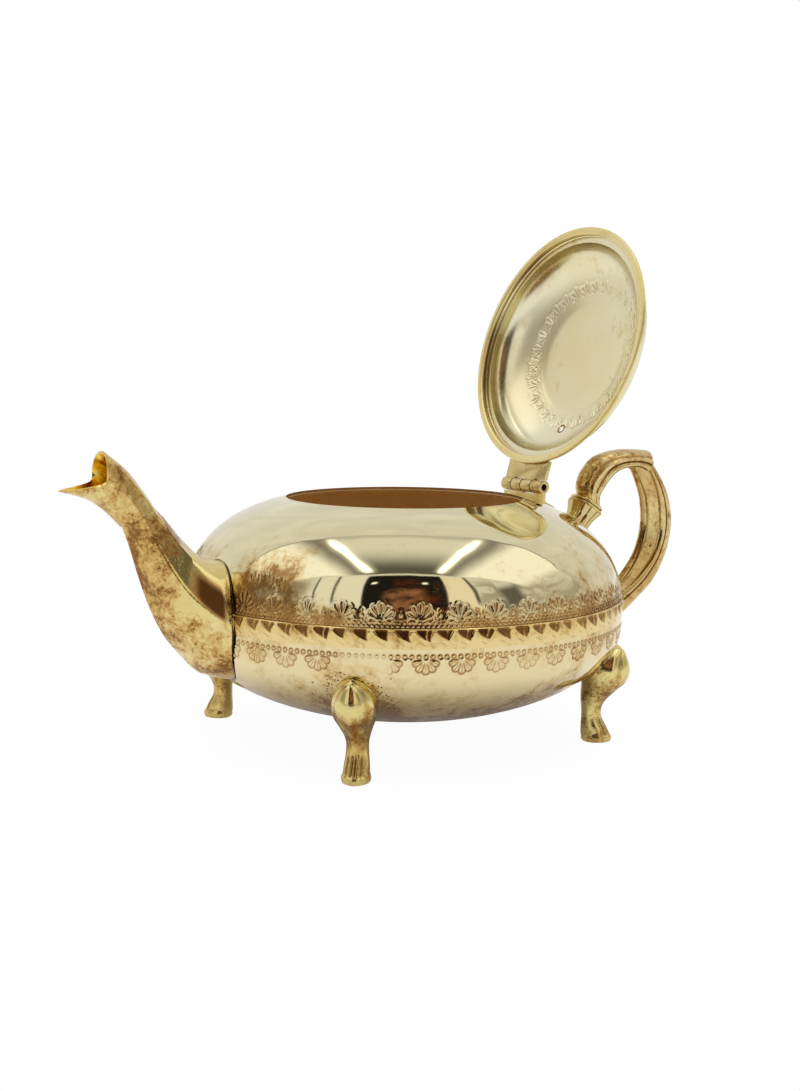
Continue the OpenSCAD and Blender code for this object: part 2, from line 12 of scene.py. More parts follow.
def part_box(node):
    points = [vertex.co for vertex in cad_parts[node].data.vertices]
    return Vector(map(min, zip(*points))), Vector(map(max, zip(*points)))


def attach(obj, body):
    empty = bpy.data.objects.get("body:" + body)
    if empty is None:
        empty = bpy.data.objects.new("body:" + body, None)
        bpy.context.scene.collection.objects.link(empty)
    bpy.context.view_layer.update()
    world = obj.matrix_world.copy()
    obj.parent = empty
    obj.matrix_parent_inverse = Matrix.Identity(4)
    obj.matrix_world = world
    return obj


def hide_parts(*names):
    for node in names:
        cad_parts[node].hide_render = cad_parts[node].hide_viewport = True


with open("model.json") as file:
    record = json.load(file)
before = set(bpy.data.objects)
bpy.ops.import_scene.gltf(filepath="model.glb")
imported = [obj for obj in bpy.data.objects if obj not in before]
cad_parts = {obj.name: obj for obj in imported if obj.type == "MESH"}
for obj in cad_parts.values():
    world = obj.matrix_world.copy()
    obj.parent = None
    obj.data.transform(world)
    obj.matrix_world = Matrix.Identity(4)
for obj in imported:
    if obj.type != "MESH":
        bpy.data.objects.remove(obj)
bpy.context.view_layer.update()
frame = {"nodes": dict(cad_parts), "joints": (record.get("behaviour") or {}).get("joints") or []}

# Lengths are millimetres until a piece is finished, and angles are degrees. +Z is up,
# the spout points to -X and the handle to +X, as in the frame.
MM = 0.001


def low(node):
    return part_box(node)[0] / MM


def high(node):
    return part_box(node)[1] / MM


# ---- sizes of the spun body ----
BODY_R = high("body_lower").x
BASE_Z = low("body_lower").z
BELLY_Z = 41.5
UPPER_H = 47.6
UPPER_N = 2.8
LOWER_H = BELLY_Z - BASE_Z
LOWER_N = 1.95
WALL = 1.2
MOUTH_R = 42.9
SEAM_Z = low("body_upper").z
SOLDER = 0.1
BAND_LOW = low("belly_band").z
BAND_HIGH = high("belly_band").z
BAND_PROUD = 0.8
STRAINER_D = 3.4
STRAINER_PITCH = 7.2

# ---- spout, handle and feet ----
SPOUT_REACH = 50.3
LIP_RISE = 51.3
ROOT_HALF_W = 17.4
ROOT_HALF_H = 20.7
ROOT_RISE = 5.2
NECK_D = 12.4
NECK_LEAN = 57
MOUTH_W = 14.8
MOUTH_BACK = 14
MOUTH_RISE = 5.2
HOOD_RISE = 12.4
SPOUT_WALL = 1.5
HANDLE_REACH = 51
HANDLE_RISE = 59.3
GRIP_W = 14
CHANNEL = 0.2
COLLAR_R = 7.2
COLLAR_T = 1.1
COLLAR_LEAN = 33
COLLAR_AT = Vector((5.8, 36.4))
SOCKET_RISE = 23.75
SOCKET_HALF_W = 6.6
SOCKET_HALF_H = 6.25
LANDING_Z = -4.5
SOLE_U = BODY_R - 7.9
SOLE_L = 10.8
SOLE_W = 9.6
ANKLE_L = 7.2
ANKLE_W = 7.6
KNEE_W = 14.4
KNEE_PROUD = 3.4
LEAF_TIP_Z = BELLY_Z - 6.4

# ---- lid and hinge ----
PIN = Vector(frame["joints"][0]["pos_m"]) / MM
OPEN_ANGLE = 106
KNUCKLES = 4
LID_Z = PIN.z - 2.0
LID_R = MOUTH_R + 4.1
RIM_W = 2.9
RIM_T = 1.1
STEP_R = LID_R - RIM_W
STEP_H = 2.3
LEDGE_W = 2.6
DOME_WALL = 1.0
DOME_R = STEP_R - LEDGE_W + DOME_WALL
DOME_Z = LID_Z + STEP_H + DOME_WALL
DOME_H = 14
DOME_N = 2.2
CROWN_R = 23
CROWN_STEP = 0.5
CROWN_SWELL = 0.4
VENT_D = 2.4
VENT_AT = 30
FINIAL_H = 16.5
BUD_R = 5.6
FINIAL_FOOT_R = 7.4

# ---- fineness of the meshes ----
BODY_TURNS = 1440
LID_TURNS = 720
CAST_POINTS = 64
FOOT_POINTS = 72
CHASED_ROW = 0.34
DOUBLINGS = 4
WELD = 1e-4


# ---- small maths ----
def cosd(a):
    return math.cos(math.radians(a))


def sind(a):
    return math.sin(math.radians(a))


def lerp(a, b, t):
    return a + (b - a) * t


def smooth(x, start, end):
    t = min(1.0, max(0.0, (x - start) / (end - start)))
    return t * t * (3 - 2 * t)


def hump(x, width):
    """1 on a line and fading to nothing over width either side."""
    return math.exp(-((x / width) ** 2))


def radius_of(co):
    return math.hypot(co.x, co.y)


def azimuth_of(co):
    return math.degrees(math.atan2(co.y, co.x))


def steps(start, end, count):
    """count values from start up to, but not including, end."""
    return [lerp(start, end, i / count) for i in range(count)]


def rows(start, end, pitch):
    return steps(start, end, max(1, round(abs(end - start) / pitch)))


def spline(keys, between):
    """Smooth run of key rings, each a list of Vectors, with the last key as its end."""
    last = len(keys) - 1
    run = []
    for i in range(last):
        a, b, c, d = (keys[k] for k in (max(i - 1, 0), i, i + 1, min(i + 2, last)))
        for t in steps(0.0, 1.0, between):
            run.append([0.5 * (2 * q + (r - p) * t + (2 * p - 5 * q + 4 * r - s) * t * t
                               + (3 * q - p - 3 * r + s) * t ** 3)
                        for p, q, r, s in zip(a, b, c, d)])
    return run + [keys[last]]


def middle(ring):
    return sum(ring, Vector((0, 0, 0))) / len(ring)


def inset(ring, by):
    c = middle(ring)
    return [p + (c - p).normalized() * by for p in ring]


# ---- the body's outline ----
def quarter(rise, height, n):
    return max(0.0, 1 - (max(0.0, rise) / height) ** n) ** (1 / n)


def skin_r(z, grow=0.0):
    """Outer radius of the body at height z; grow offsets the skin."""
    if z >= BELLY_Z:
        return (BODY_R + grow) * quarter(z - BELLY_Z, UPPER_H + grow, UPPER_N)
    return (BODY_R + grow) * quarter(BELLY_Z - z, LOWER_H + grow, LOWER_N)


def side_x(z, y):
    """How far out a point at height z and y across lies when it seats on the body."""
    return math.sqrt(max(0.0, skin_r(z, SOLDER) ** 2 - y * y))


def clear_of_body(ring):
    """Moves a ring's points out along X wherever they would lie inside the body."""
    return [Vector((math.copysign(max(abs(p.x), side_x(p.z, p.y)), p.x), p.y, p.z))
            for p in ring]


def ellipse_angle(share, n):
    return math.degrees(math.acos(share ** (n / 2)))


def arc(radius, base, height, n, t):
    """The point (radius, height) at t degrees up a quarter of a squarish ellipse."""
    return radius * max(0.0, cosd(t)) ** (2 / n), base + height * sind(t) ** (2 / n)


def upper_curve(t, grow=0.0):
    return arc(BODY_R + grow, BELLY_Z, UPPER_H + grow, UPPER_N, t)


def lower_curve(t, grow=0.0):
    return arc(BODY_R + grow, BELLY_Z, -LOWER_H - grow, LOWER_N, t)


def skin_run(start, end, pitch):
    """The body's outline from one height to another, the last left out."""
    return [(skin_r(z), z) for z in rows(start, end, pitch)]


def height_angle(rise, height, n):
    return math.degrees(math.asin((rise / height) ** (n / 2)))


def rounded(r, z, radius, angles):
    """Points of a rounded edge, whose centre is at (r, z)."""
    return [(r + radius * cosd(a), z + radius * sind(a)) for a in angles]


# ---- bench tools: turning, casting, chasing, finishing ----
def turned(profile, turns, start=0.0, sweep=360.0):
    """Turns a profile of (radius, height) about Z: a shell if it stays off the axis."""
    bm = bmesh.new()
    on_axis = profile[0][0] == 0 and profile[-1][0] == 0
    verts = [bm.verts.new((r * cosd(start), r * sind(start), z)) for r, z in profile]
    pairs = list(zip(verts, verts[1:])) + ([] if on_axis else [(verts[-1], verts[0])])
    edges = [bm.edges.new(pair) for pair in pairs]
    # A slice is spun, and then doubled until it has gone round.
    wedge = sweep / 2 ** DOUBLINGS
    bmesh.ops.spin(bm, geom=verts + edges, cent=(0, 0, 0), axis=(0, 0, 1),
                   angle=math.radians(wedge), steps=turns // 2 ** DOUBLINGS)
    for k in range(DOUBLINGS):
        copied = bmesh.ops.duplicate(bm, geom=bm.verts[:] + bm.edges[:] + bm.faces[:])["geom"]
        turn = Matrix.Rotation(math.radians(wedge * 2 ** k), 3, "Z")
        bmesh.ops.rotate(bm, cent=(0, 0, 0), matrix=turn,
                         verts=[g for g in copied if isinstance(g, bmesh.types.BMVert)])
    bmesh.ops.remove_doubles(bm, verts=bm.verts, dist=WELD)
    open_ends = [e for e in bm.edges if len(e.link_faces) == 1]
    if open_ends:
        bmesh.ops.holes_fill(bm, edges=open_ends, sides=0)
    return bm


def cast(rings, hollow=False):
    """A casting through rings of points. A hollow one runs out and back in to its start."""
    bm = bmesh.new()
    order = bm.verts.layers.int.new("order")
    level = bm.verts.layers.int.new("level")
    count = len(rings[0])
    verts = bmesh.ops.create_circle(bm, segments=count, radius=1)["verts"]
    for v in verts:
        v[order] = round(math.atan2(v.co.y, v.co.x) / math.tau * count) % count
    loop = start = bm.edges[:]
    for k, ring in enumerate(rings):
        if k:
            made = bmesh.ops.extrude_edge_only(bm, edges=loop)["geom"]
            verts = [g for g in made if isinstance(g, bmesh.types.BMVert)]
            fresh = set(verts)
            loop = [g for g in made if isinstance(g, bmesh.types.BMEdge)
                    and g.verts[0] in fresh and g.verts[1] in fresh]
        for v in verts:
            v.co = ring[v[order]]
            v[level] = k
    if hollow:
        bmesh.ops.bridge_loops(bm, edges=loop + start)
    else:
        bmesh.ops.contextual_create(bm, geom=start)
        bmesh.ops.contextual_create(bm, geom=loop)
    return bm


def mesh_of(bm, name):
    mesh = bpy.data.meshes.new(name)
    bm.to_mesh(mesh)
    bm.free()
    return mesh


def set_down(name, data):
    """A new object, placed in the scene."""
    made = bpy.data.objects.new(name, data)
    bpy.context.scene.collection.objects.link(made)
    return made


def to_metres(bm):
    bmesh.ops.scale(bm, vec=(MM, MM, MM), verts=bm.verts)


def drilled(piece, cutter):
    """Cuts holes through a finished piece and drops the cutter."""
    to_metres(cutter)
    cutter.normal_update()
    drill = set_down("drill", mesh_of(cutter, "drill"))
    cut = piece.modifiers.new("holes", "BOOLEAN")
    cut.object = drill
    cut.operation = "DIFFERENCE"
    cut.solver = "MANIFOLD"
    bpy.context.view_layer.update()
    done = piece.evaluated_get(bpy.context.evaluated_depsgraph_get())
    piece.modifiers.clear()
    piece.data = bpy.data.meshes.new_from_object(done)
    bpy.data.objects.remove(drill)


def drill_rod(bm, at, along, diameter, length):
    """A drill, or any plain rod, centred on a point, its ends flat."""
    place = Matrix.Translation(at) @ along.to_track_quat("Z", "Y").to_matrix().to_4x4()
    bmesh.ops.create_cone(bm, cap_ends=True, segments=32, radius1=diameter / 2,
                          radius2=diameter / 2, depth=length, matrix=place)


def piece_from(bm, name, body, finish, replaces=(), crisp=50, turn=None):
    """Cleans a mesh, brings it to metres and hands it over as a piece of the model."""
    bmesh.ops.remove_doubles(bm, verts=bm.verts, dist=WELD)
    bmesh.ops.recalc_face_normals(bm, faces=bm.faces)
    if turn:
        bmesh.ops.transform(bm, matrix=turn, verts=bm.verts)
    to_metres(bm)
    mesh = mesh_of(bm, name)
    mesh.shade_smooth()
    mesh.set_sharp_from_angle(angle=math.radians(crisp))
    mesh.materials.append(finish)
    piece = set_down(name, mesh)
    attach(piece, body)
    if replaces:
        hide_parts(*replaces)
    return piece


def chase(bm, pattern):
    """Hammers a pattern into a turned sheet. It gives (rise, cut) for each point of it."""
    cut = bm.verts.layers.float.new("cut")
    proud = bm.verts.layers.float.new("proud")
    bmesh.ops.remove_doubles(bm, verts=bm.verts, dist=WELD)
    bmesh.ops.recalc_face_normals(bm, faces=bm.faces)
    bm.normal_update()
    for v in bm.verts:
        struck = pattern(v.co)
        if struck:
            v.co += v.normal * struck[0]
            v[cut] = struck[1]
            v[proud] = min(1.0, max(0.0, struck[0] * 3))


def mark_carving(bm, depth):
    """Marks how deep each point of a casting lies, by its place in its ring and the
    ring's number, for the grime that stays in the hollows and the shine on the ridges.
    On the spout's neck it lays on a patch of painted dark reflection instead."""
    cut = bm.verts.layers.float.new("cut")
    proud = bm.verts.layers.float.new("proud")
    order = bm.verts.layers.int["order"]
    level = bm.verts.layers.int["level"]
    for v in bm.verts:
        deep = depth(v[order], v[level])
        v[cut] = min(1.0, max(0.0, deep * 1.6))
        v[proud] = min(1.0, max(0.0, -deep * 2.5))


def mark_inside(bm, is_inside):
    """Marks the inner side of a hollow, which has a lining of its own colour."""
    inside = bm.verts.layers.float.new("inside")
    for v in bm.verts:
        v[inside] = float(is_inside(v))


# ---- chased motifs, on a flat sheet: u along it, w up from the motif's root ----
def fan(u, w, petals, spread, length, droop, edge, vein=0.4):
    """A fan of round-ended petals. edge turns the depth inside a petal's outline into
    (rise, cut), and vein is the weight of the line along each petal."""
    reach = math.hypot(u, w)
    if reach > length + 1:
        return 0.0, 0.0
    half = (petals - 1) / 2
    gap = spread / petals
    angle = math.degrees(math.atan2(u, w))
    k = max(-half, min(half, round(angle / gap)))
    along = reach * cosd(angle - k * gap)
    across = abs(reach * sind(angle - k * gap))
    size = length * (1 - droop * (abs(k) / half) ** 2)
    tip = size * sind(gap / 2) / (1 + sind(gap / 2))
    if along > size - tip:
        depth = tip - math.hypot(along - (size - tip), across)
    else:
        depth = along * sind(gap / 2) - across * cosd(gap / 2) + 0.05
    started = smooth(along, size * 0.12, size * 0.4)
    rise, cut = edge(depth)
    line = vein * hump(across, 0.2) * smooth(depth, 0.2, 0.5)
    line *= smooth(along, size * 0.3, size * 0.5)
    return (rise - 0.3 * line) * started, max(cut, line) * started


def outlined(depth, rise, groove, width=0.26):
    """A shape raised by rise inside, with a groove along its edge."""
    line = hump(depth, width)
    return rise * smooth(depth, 0.0, 0.45) - groove * line, line


def rimmed(depth, rise, hollow):
    """A shape with a raised rim and a dull hollow inside it."""
    rim = hump(depth - 0.12, 0.24)
    inner = smooth(depth, 0.3, 0.6)
    return rise * rim - hollow * inner, 0.25 * rim + 0.6 * inner + 0.4 * hump(depth + 0.35, 0.2)


def nearest(value, pitch, phase=0.0):
    """Distance from the nearest of a row of marks, pitch apart."""
    return (value - phase + pitch / 2) % pitch - pitch / 2


def ring_mark(u, w, radius, rise, groove, line=0.2):
    return outlined(radius - math.hypot(u, w), rise, groove, line)


def strongest(marks):
    rise = sum(m[0] for m in marks)
    return rise, min(1.0, max(m[1] for m in marks))


# ---- the chased bands of the body ----
FRONT = -123
FAN_COUNT = 40
FAN_PHASE = -119.2
FAN_LENGTH = 5.7
DROP_COUNT = 43
DROP_PHASE = -117.9
DROP_LENGTH = 5.0
BEAD_COUNT = 226
TWIN_BEADS = 312
LEAF_COUNT = 76
BAND_TOP = BAND_HIGH - 0.8
FAN_ROOT = BAND_TOP + 2.4
TWIN_ROWS = (BAND_TOP + 0.55, BAND_TOP + 1.6)
BEAD_ROW = BAND_LOW - 2.3
DROP_ROOT = BEAD_ROW - 0.9
# Extra fans beside the spout's root: azimuth and height of each root
SPRAY = [(side * a, h) for side in (-1, 1)
         for a, h in ((163, 61.5), (158.5, 64.5), (154.5, 61.0))]
# Heights at which the fine rows of points end and, last of each, the chasing itself
FANS_END, SPRAY_END, UPPER_END = 61.4, 67.5, 72
DROPS_START, LOWER_END = 36.2, 34


def hand_weight(azimuth, z, seed):
    """How hard the chaser struck here: between a half and full weight."""
    spot = Vector((cosd(azimuth) * 3.2, sind(azimuth) * 3.2, z * 0.09 + seed))
    return 0.78 + 0.45 * noise.noise(spot)


def on_skin(co):
    return radius_of(co) > skin_r(co.z) - WALL / 3


def upper_chasing(co):
    """Fans with curls between them, over two rows of beads."""
    if not on_skin(co) or not BAND_TOP < co.z < UPPER_END:
        return None
    azimuth = azimuth_of(co)
    per_degree = math.radians(1) * skin_r(co.z)
    u = nearest(azimuth, 360 / FAN_COUNT, FAN_PHASE) * per_degree
    up = co.z - FAN_ROOT
    petal = partial(rimmed, rise=0.3, hollow=0.12)
    marks = [fan(u, up, 7, 200, FAN_LENGTH, 0.3, petal)]
    v = nearest(azimuth, 360 / FAN_COUNT, FAN_PHASE + 180 / FAN_COUNT) * per_degree
    for lift, radius in ((-0.1, 0.6), (1.4, 0.8), (3.0, 0.5)):
        marks.append(ring_mark(v, up - lift, radius, 0.24, 0.2))
    for row in TWIN_ROWS:
        bead = nearest(azimuth, 360 / TWIN_BEADS, row * 0.4) * per_degree
        marks.append(ring_mark(bead, co.z - row, 0.5, 0.3, 0.2))
    for spray_azimuth, root in SPRAY:
        u = nearest(azimuth, 360, spray_azimuth) * per_degree
        if abs(u) < 8:
            marks.append(fan(u, co.z - root, 5, 150, 4.6, 0.3, petal))
    rise, cut = strongest(marks)
    # The ground between the fans was never polished clean.
    ground = 0.34 * (1 - smooth(up, 0.2, 1.8)) * (1 - smooth(rise, 0.02, 0.15))
    weight = hand_weight(azimuth, co.z, 4)
    return rise * weight, max(cut * weight, ground)


def lower_chasing(co):
    """A row of rings with fans hanging from it."""
    if not on_skin(co) or not LOWER_END < co.z < BAND_LOW + 0.2:
        return None
    azimuth = azimuth_of(co)
    per_degree = math.radians(1) * skin_r(co.z)
    u = nearest(azimuth, 360 / DROP_COUNT, DROP_PHASE) * per_degree
    petal = partial(outlined, rise=0.1, groove=0.26, width=0.3)
    drop = fan(u, DROP_ROOT - co.z, 5, 168, DROP_LENGTH, 0.1, petal, 0.7)
    bead = nearest(azimuth, 360 / BEAD_COUNT) * per_degree
    ring = ring_mark(bead, co.z - BEAD_ROW, 0.66, 0.16, 0.26, 0.26)
    # The fans are worn away over the feet, where the solder was cleaned off.
    worn = 1 - smooth(abs(nearest(azimuth, 90, 48)), 4, 8)
    weight = hand_weight(azimuth, co.z, 9)
    rise = drop[0] * (1 - worn) + ring[0] * (1 - 0.5 * worn)
    cut = max(drop[1] * (1 - worn), ring[1] * (1 - 0.5 * worn))
    return rise * weight, cut * weight


def band_chasing(co):
    """Slanting pockets along the top of the belly band, each with a cut line below it."""
    if radius_of(co) < skin_r(co.z) + 0.12:
        return None
    azimuth = azimuth_of(co)
    pitch = math.radians(360 / LEAF_COUNT) * BODY_R
    along = math.radians(azimuth) * BODY_R
    fall = BAND_TOP - 0.75 - co.z
    sunk = max(0.0, fall)
    mood = noise.noise(Vector((cosd(azimuth) * 9, sind(azimuth) * 9, co.z * 0.16)))
    across = nearest(along - 0.16 * sunk * sunk - 0.9 * mood, pitch)
    width = (2.5 + 0.9 * mood) * (1 - min(1.0, sunk / (3.5 + 1.3 * mood)) ** 1.5)
    inside = smooth(width - abs(across), -0.15, 0.3) * smooth(fall, -0.25, 0.15)
    rim = hump(width - abs(across) + 0.3, 0.3) * smooth(fall, 0.0, 0.3) * (1 - smooth(fall, 3, 4))
    curl = hump(across - width * 0.35 + 0.3 * sunk, 0.24) * inside * smooth(mood, -0.1, 0.2)
    tail = nearest(along + 1.3 - 1.75 * (fall - 3.6), pitch)
    line = hump(tail, 0.3) * smooth(fall, 3.4, 3.8) * (1 - smooth(fall, 5.0, 6.0))
    weight = hand_weight(azimuth, co.z, 2)
    scoop = 0.36 * inside * (1 - curl) * max(0.15, 1 - sunk / 3.6)
    rise = 0.2 * rim + 0.2 * curl - 0.14 * line
    # The darkening is grime in the pockets, with more at the front, which faces the camera: that
    # extra darkness is painted dark reflection.
    darkening = (0.5 + 0.5 * hump(azimuth - FRONT, 34) + 0.4 * max(0.0, mood)) * inside * (1 - curl)
    return rise * weight - scoop, max(darkening, 0.3 * curl, 0.75 * line * weight)


def body_upper():
    outside = (skin_run(SEAM_Z, BAND_TOP, 2) + skin_run(BAND_TOP, FANS_END, CHASED_ROW)
               + skin_run(FANS_END, SPRAY_END, 0.55))
    from_t = height_angle(SPRAY_END - BELLY_Z, UPPER_H, UPPER_N)
    to_t = ellipse_angle(MOUTH_R / BODY_R, UPPER_N)
    shoulder = [upper_curve(t) for t in steps(from_t, to_t, 15)] + [upper_curve(to_t)]
    in_t = ellipse_angle(MOUTH_R / (BODY_R - WALL), UPPER_N)
    out_t = height_angle(SEAM_Z - BELLY_Z, UPPER_H - WALL, UPPER_N)
    inside = [upper_curve(t, -WALL) for t in steps(in_t, out_t, 8)] + [upper_curve(out_t, -WALL)]
    lip = [(MOUTH_R + 0.02, (shoulder[-1][1] + inside[0][1]) / 2)]
    shell("upper", outside + shoulder + lip + inside, upper_chasing)


def body_lower():
    low_t = height_angle(BELLY_Z - DROPS_START, LOWER_H, LOWER_N)
    bowl = [(0, BASE_Z)] + [lower_curve(t) for t in steps(88.5, low_t, 18)]
    wall = (skin_run(DROPS_START, BAND_LOW, CHASED_ROW) + skin_run(BAND_LOW, SEAM_Z, 2)
            + [(skin_r(SEAM_Z), SEAM_Z), (skin_r(SEAM_Z, -WALL), SEAM_Z)])
    inside = [lower_curve(t, -WALL) for t in steps(3, 88.5, 9)] + [(0, BASE_Z + WALL)]
    shell("lower", bowl + wall + inside, lower_chasing)


def shell(half, profile, pattern):
    """One half of the body, chased and with the strainer drilled in it."""
    bm = turned(profile, BODY_TURNS)
    chase(bm, pattern)
    mark_inside(bm, lambda v: radius_of(v.co) < skin_r(v.co.z, -WALL * 0.6))
    piece = piece_from(bm, "body_shell_" + half, "pot", SPUN, ["body_" + half],
                       crisp=60)
    drilled(piece, strainer_drills())


def strainer_drills():
    bm = bmesh.new()
    for row in (-2, -1, 1, 2):
        count = 4 - abs(row)
        for i in range(count):
            at = Vector((-BODY_R, (i - (count - 1) / 2) * STRAINER_PITCH,
                         SEAM_Z + row * STRAINER_PITCH * sind(60)))
            drill_rod(bm, at, Vector((1, 0, 0)), STRAINER_D, BODY_R * 0.6)
    return bm


def belly_band():
    gap = math.degrees(math.asin((ROOT_HALF_W + SOLDER) / (BODY_R + BAND_PROUD)))
    outer = []
    for z in rows(BAND_LOW, BAND_TOP, CHASED_ROW * 0.8) + [BAND_TOP]:
        t = (z - BAND_LOW) / (BAND_TOP - BAND_LOW)
        swell = BAND_PROUD * lerp(0.12, 0.58, smooth(t, 0.0, 0.6))
        bead = 0.34 * hump(t - 0.95, 0.04)
        outer.append((skin_r(z) + swell + bead, z))
    back = [(skin_r(z, SOLDER), z) for z in steps(BAND_TOP, BAND_LOW, 6) + [BAND_LOW]]
    bm = turned(outer + back, BODY_TURNS, start=-180 + gap, sweep=360 - 2 * gap)
    chase(bm, band_chasing)
    piece_from(bm, "belly_band_chased", "pot", BAND, ["belly_band"], crisp=60)


# ---- feet ----
def foot_slices():
    """Slices up a leg: height, back, front and half width."""
    h = LEAF_TIP_Z
    heel = SOLE_U - SOLE_L / 2
    toe = SOLE_U + SOLE_L / 2
    shin = heel + ANKLE_L
    knee = BODY_R + KNEE_PROUD
    back = heel - 0.5
    return [
        (0, heel + 0.5, toe - 0.3, SOLE_W / 2 - 0.3),
        (0.02 * h, heel, toe, SOLE_W / 2),
        (0.05 * h, heel, toe, SOLE_W / 2),
        (0.08 * h, heel - 0.2, toe - 0.6, SOLE_W / 2 - 0.4),
        (0.15 * h, heel - 0.2, lerp(shin, toe, 0.5), lerp(ANKLE_W, SOLE_W, 0.4) / 2),
        (0.25 * h, heel - 0.1, shin, ANKLE_W / 2),
        (0.35 * h, back + 0.3, shin, ANKLE_W / 2 - 0.1),
        *((up * h, back, lerp(shin, knee, out), lerp(ANKLE_W, KNEE_W, wide) / 2)
          for up, out, wide in ((0.43, 0.16, 0.14), (0.51, 0.46, 0.44), (0.61, 0.84, 0.84))),
        (0.71 * h, back, knee, KNEE_W / 2),
        (0.80 * h, back, knee - 0.1, KNEE_W / 2 - 0.2),
        (0.88 * h, back, lerp(BODY_R, knee, 0.7), KNEE_W * 0.42),
        (0.94 * h, back, lerp(BODY_R, knee, 0.4), KNEE_W * 0.32),
        (0.98 * h, back, BODY_R, KNEE_W * 0.2),
        (h, back, BODY_R - 0.6, KNEE_W * 0.08)]


def foot_carving(a, share):
    """Carving on a leg, out or in: a is the angle from its front, share its height."""
    a = abs((a + 180) % 360 - 180)
    # A smooth boss on the knee, in a hood that closes over its top
    rim = 56 * quarter(share - 0.72, 0.25, 2)
    hood = -0.24 * hump(a - rim, 9) + 0.32 * hump(a - rim - 15, 11)
    hood *= smooth(share, 0.55, 0.66) * (1 - smooth(share, 0.95, 1.0))
    chin = -0.4 * hump(a - 130 * (share - 0.47), 12) * hump(share - 0.56, 0.07)
    shin = -0.3 * hump(a - 32, 9) * smooth(share, 0.3, 0.36) * (1 - smooth(share, 0.44, 0.5))
    toes = -0.55 * (hump(a - 9, 5) + 0.8 * hump(a - 40, 7))
    toes *= smooth(share, 0.05, 0.09) * (1 - smooth(share, 0.2, 0.32))
    return hood + chin + shin + toes


def foot(corner, angle):
    rings = []
    slices = [[Vector((z, back, front)), Vector((half_w, 0, 0))]
              for z, back, front, half_w in foot_slices()]
    for (z, back, front), (half_w, *_) in spline(slices, 6):
        mid = (back + front) / 2
        half = (front - back) / 2
        ring = []
        for j in range(FOOT_POINTS):
            a = 360 * j / FOOT_POINTS
            deep = foot_carving(a, z / LEAF_TIP_Z)
            v = (half_w + deep) * sind(a) * (1 - 0.12 * cosd(a))
            u = mid + (half + deep) * cosd(a)
            ring.append(Vector((max(u, side_x(z, v)), v, max(z, 0.0))))
        rings.append(ring)
    bm = cast(rings)
    mark_carving(bm, lambda j, k: -foot_carving(360 * j / FOOT_POINTS,
                                                rings[k][0].z / LEAF_TIP_Z))
    turn = Matrix.Rotation(math.radians(angle), 4, "Z")
    piece_from(bm, "foot_cast_" + corner, "pot", FOOT, ["foot_" + corner],
               crisp=60, turn=turn)


def punch_marks():
    """Small punched marks strewn on the body round the top of each foot."""
    bm = bmesh.new()
    for foot_angle in (45, 135, 225, 315):
        for i in range(64):
            spot = Vector((foot_angle * 0.37, i * 7.31, 2.5))
            stray = Vector([noise.noise(spot * shift) for shift in (1, 1.13, 1.29)])
            a = lerp(-120, 120, (i * 0.618) % 1) + 12 * stray.x
            ring = lerp(8.6, 15.5, ((i * 0.755) % 1) ** 1.6) + 1.2 * stray.y
            z = LEAF_TIP_Z - 7.5 + ring * cosd(a) * 0.9
            if not BASE_Z + 8 < z < DROP_ROOT - 5:
                continue
            r = skin_r(z)
            azimuth = foot_angle - math.degrees(ring * sind(a) / r)
            out = Vector((cosd(azimuth), sind(azimuth), 0))
            slope = Vector((out.x, out.y, (skin_r(z - 0.1) - skin_r(z + 0.1)) / 0.2))
            place = (Matrix.Translation(out * r + Vector((0, 0, z)))
                     @ slope.to_track_quat("Z", "Y").to_matrix().to_4x4()
                     @ Matrix.Rotation(math.tau * stray.z, 4, "Z")
                     @ Matrix.Diagonal((0.22, 0.22 + 0.4 * abs(stray.x), 0.06, 1)))
            bmesh.ops.create_uvsphere(bm, u_segments=8, v_segments=4, radius=1, matrix=place)
    piece_from(bm, "foot_punch_marks", "pot", DARK_MARKS_AND_SHADE, crisp=60)


# ---- spout ----
def ring_of(point):
    """A ring of a casting, from the point at each angle."""
    return [Vector(point(360 * j / CAST_POINTS)) for j in range(CAST_POINTS)]


def side_ring(top, bottom, w, pinch, side):
    """A ring between an upper and a lower point [out, up] of the side view, drawn in by
    pinch at each angle. side is -1 for the spout and 1 for the handle."""
    c = (Vector(top) + Vector(bottom)) / 2
    h = (Vector(top) - Vector(bottom)) / 2

    def point(a):
        f = pinch(a)
        return (side * (BODY_R + c.x + h.x * sind(a) * f), side * w * cosd(a) * f,
                BELLY_Z + c.y + h.y * sind(a) * f)

    return ring_of(point)


def spout_ring(top, bottom, w, depth=0.96):
    """A ring with eight facets."""
    return side_ring(top, bottom, w, lambda a: lerp(1, cosd(22.5) / cosd(a % 45 - 22.5), depth),
                     -1)


def root_ring(grow=0.0):
    """The spout's foot on the body."""
    def point(a):
        y = -(ROOT_HALF_W + grow) * cosd(a)
        z = BELLY_Z + ROOT_RISE + (ROOT_HALF_H + grow) * sind(a)
        return -side_x(z, y), y, z

    return ring_of(point)


JOINT = Vector((SPOUT_REACH - 26.2, LIP_RISE - 8.9))
ACROSS = Vector((-sind(NECK_LEAN), cosd(NECK_LEAN))) * NECK_D / 2
ALONG = Vector((cosd(NECK_LEAN), sind(NECK_LEAN)))


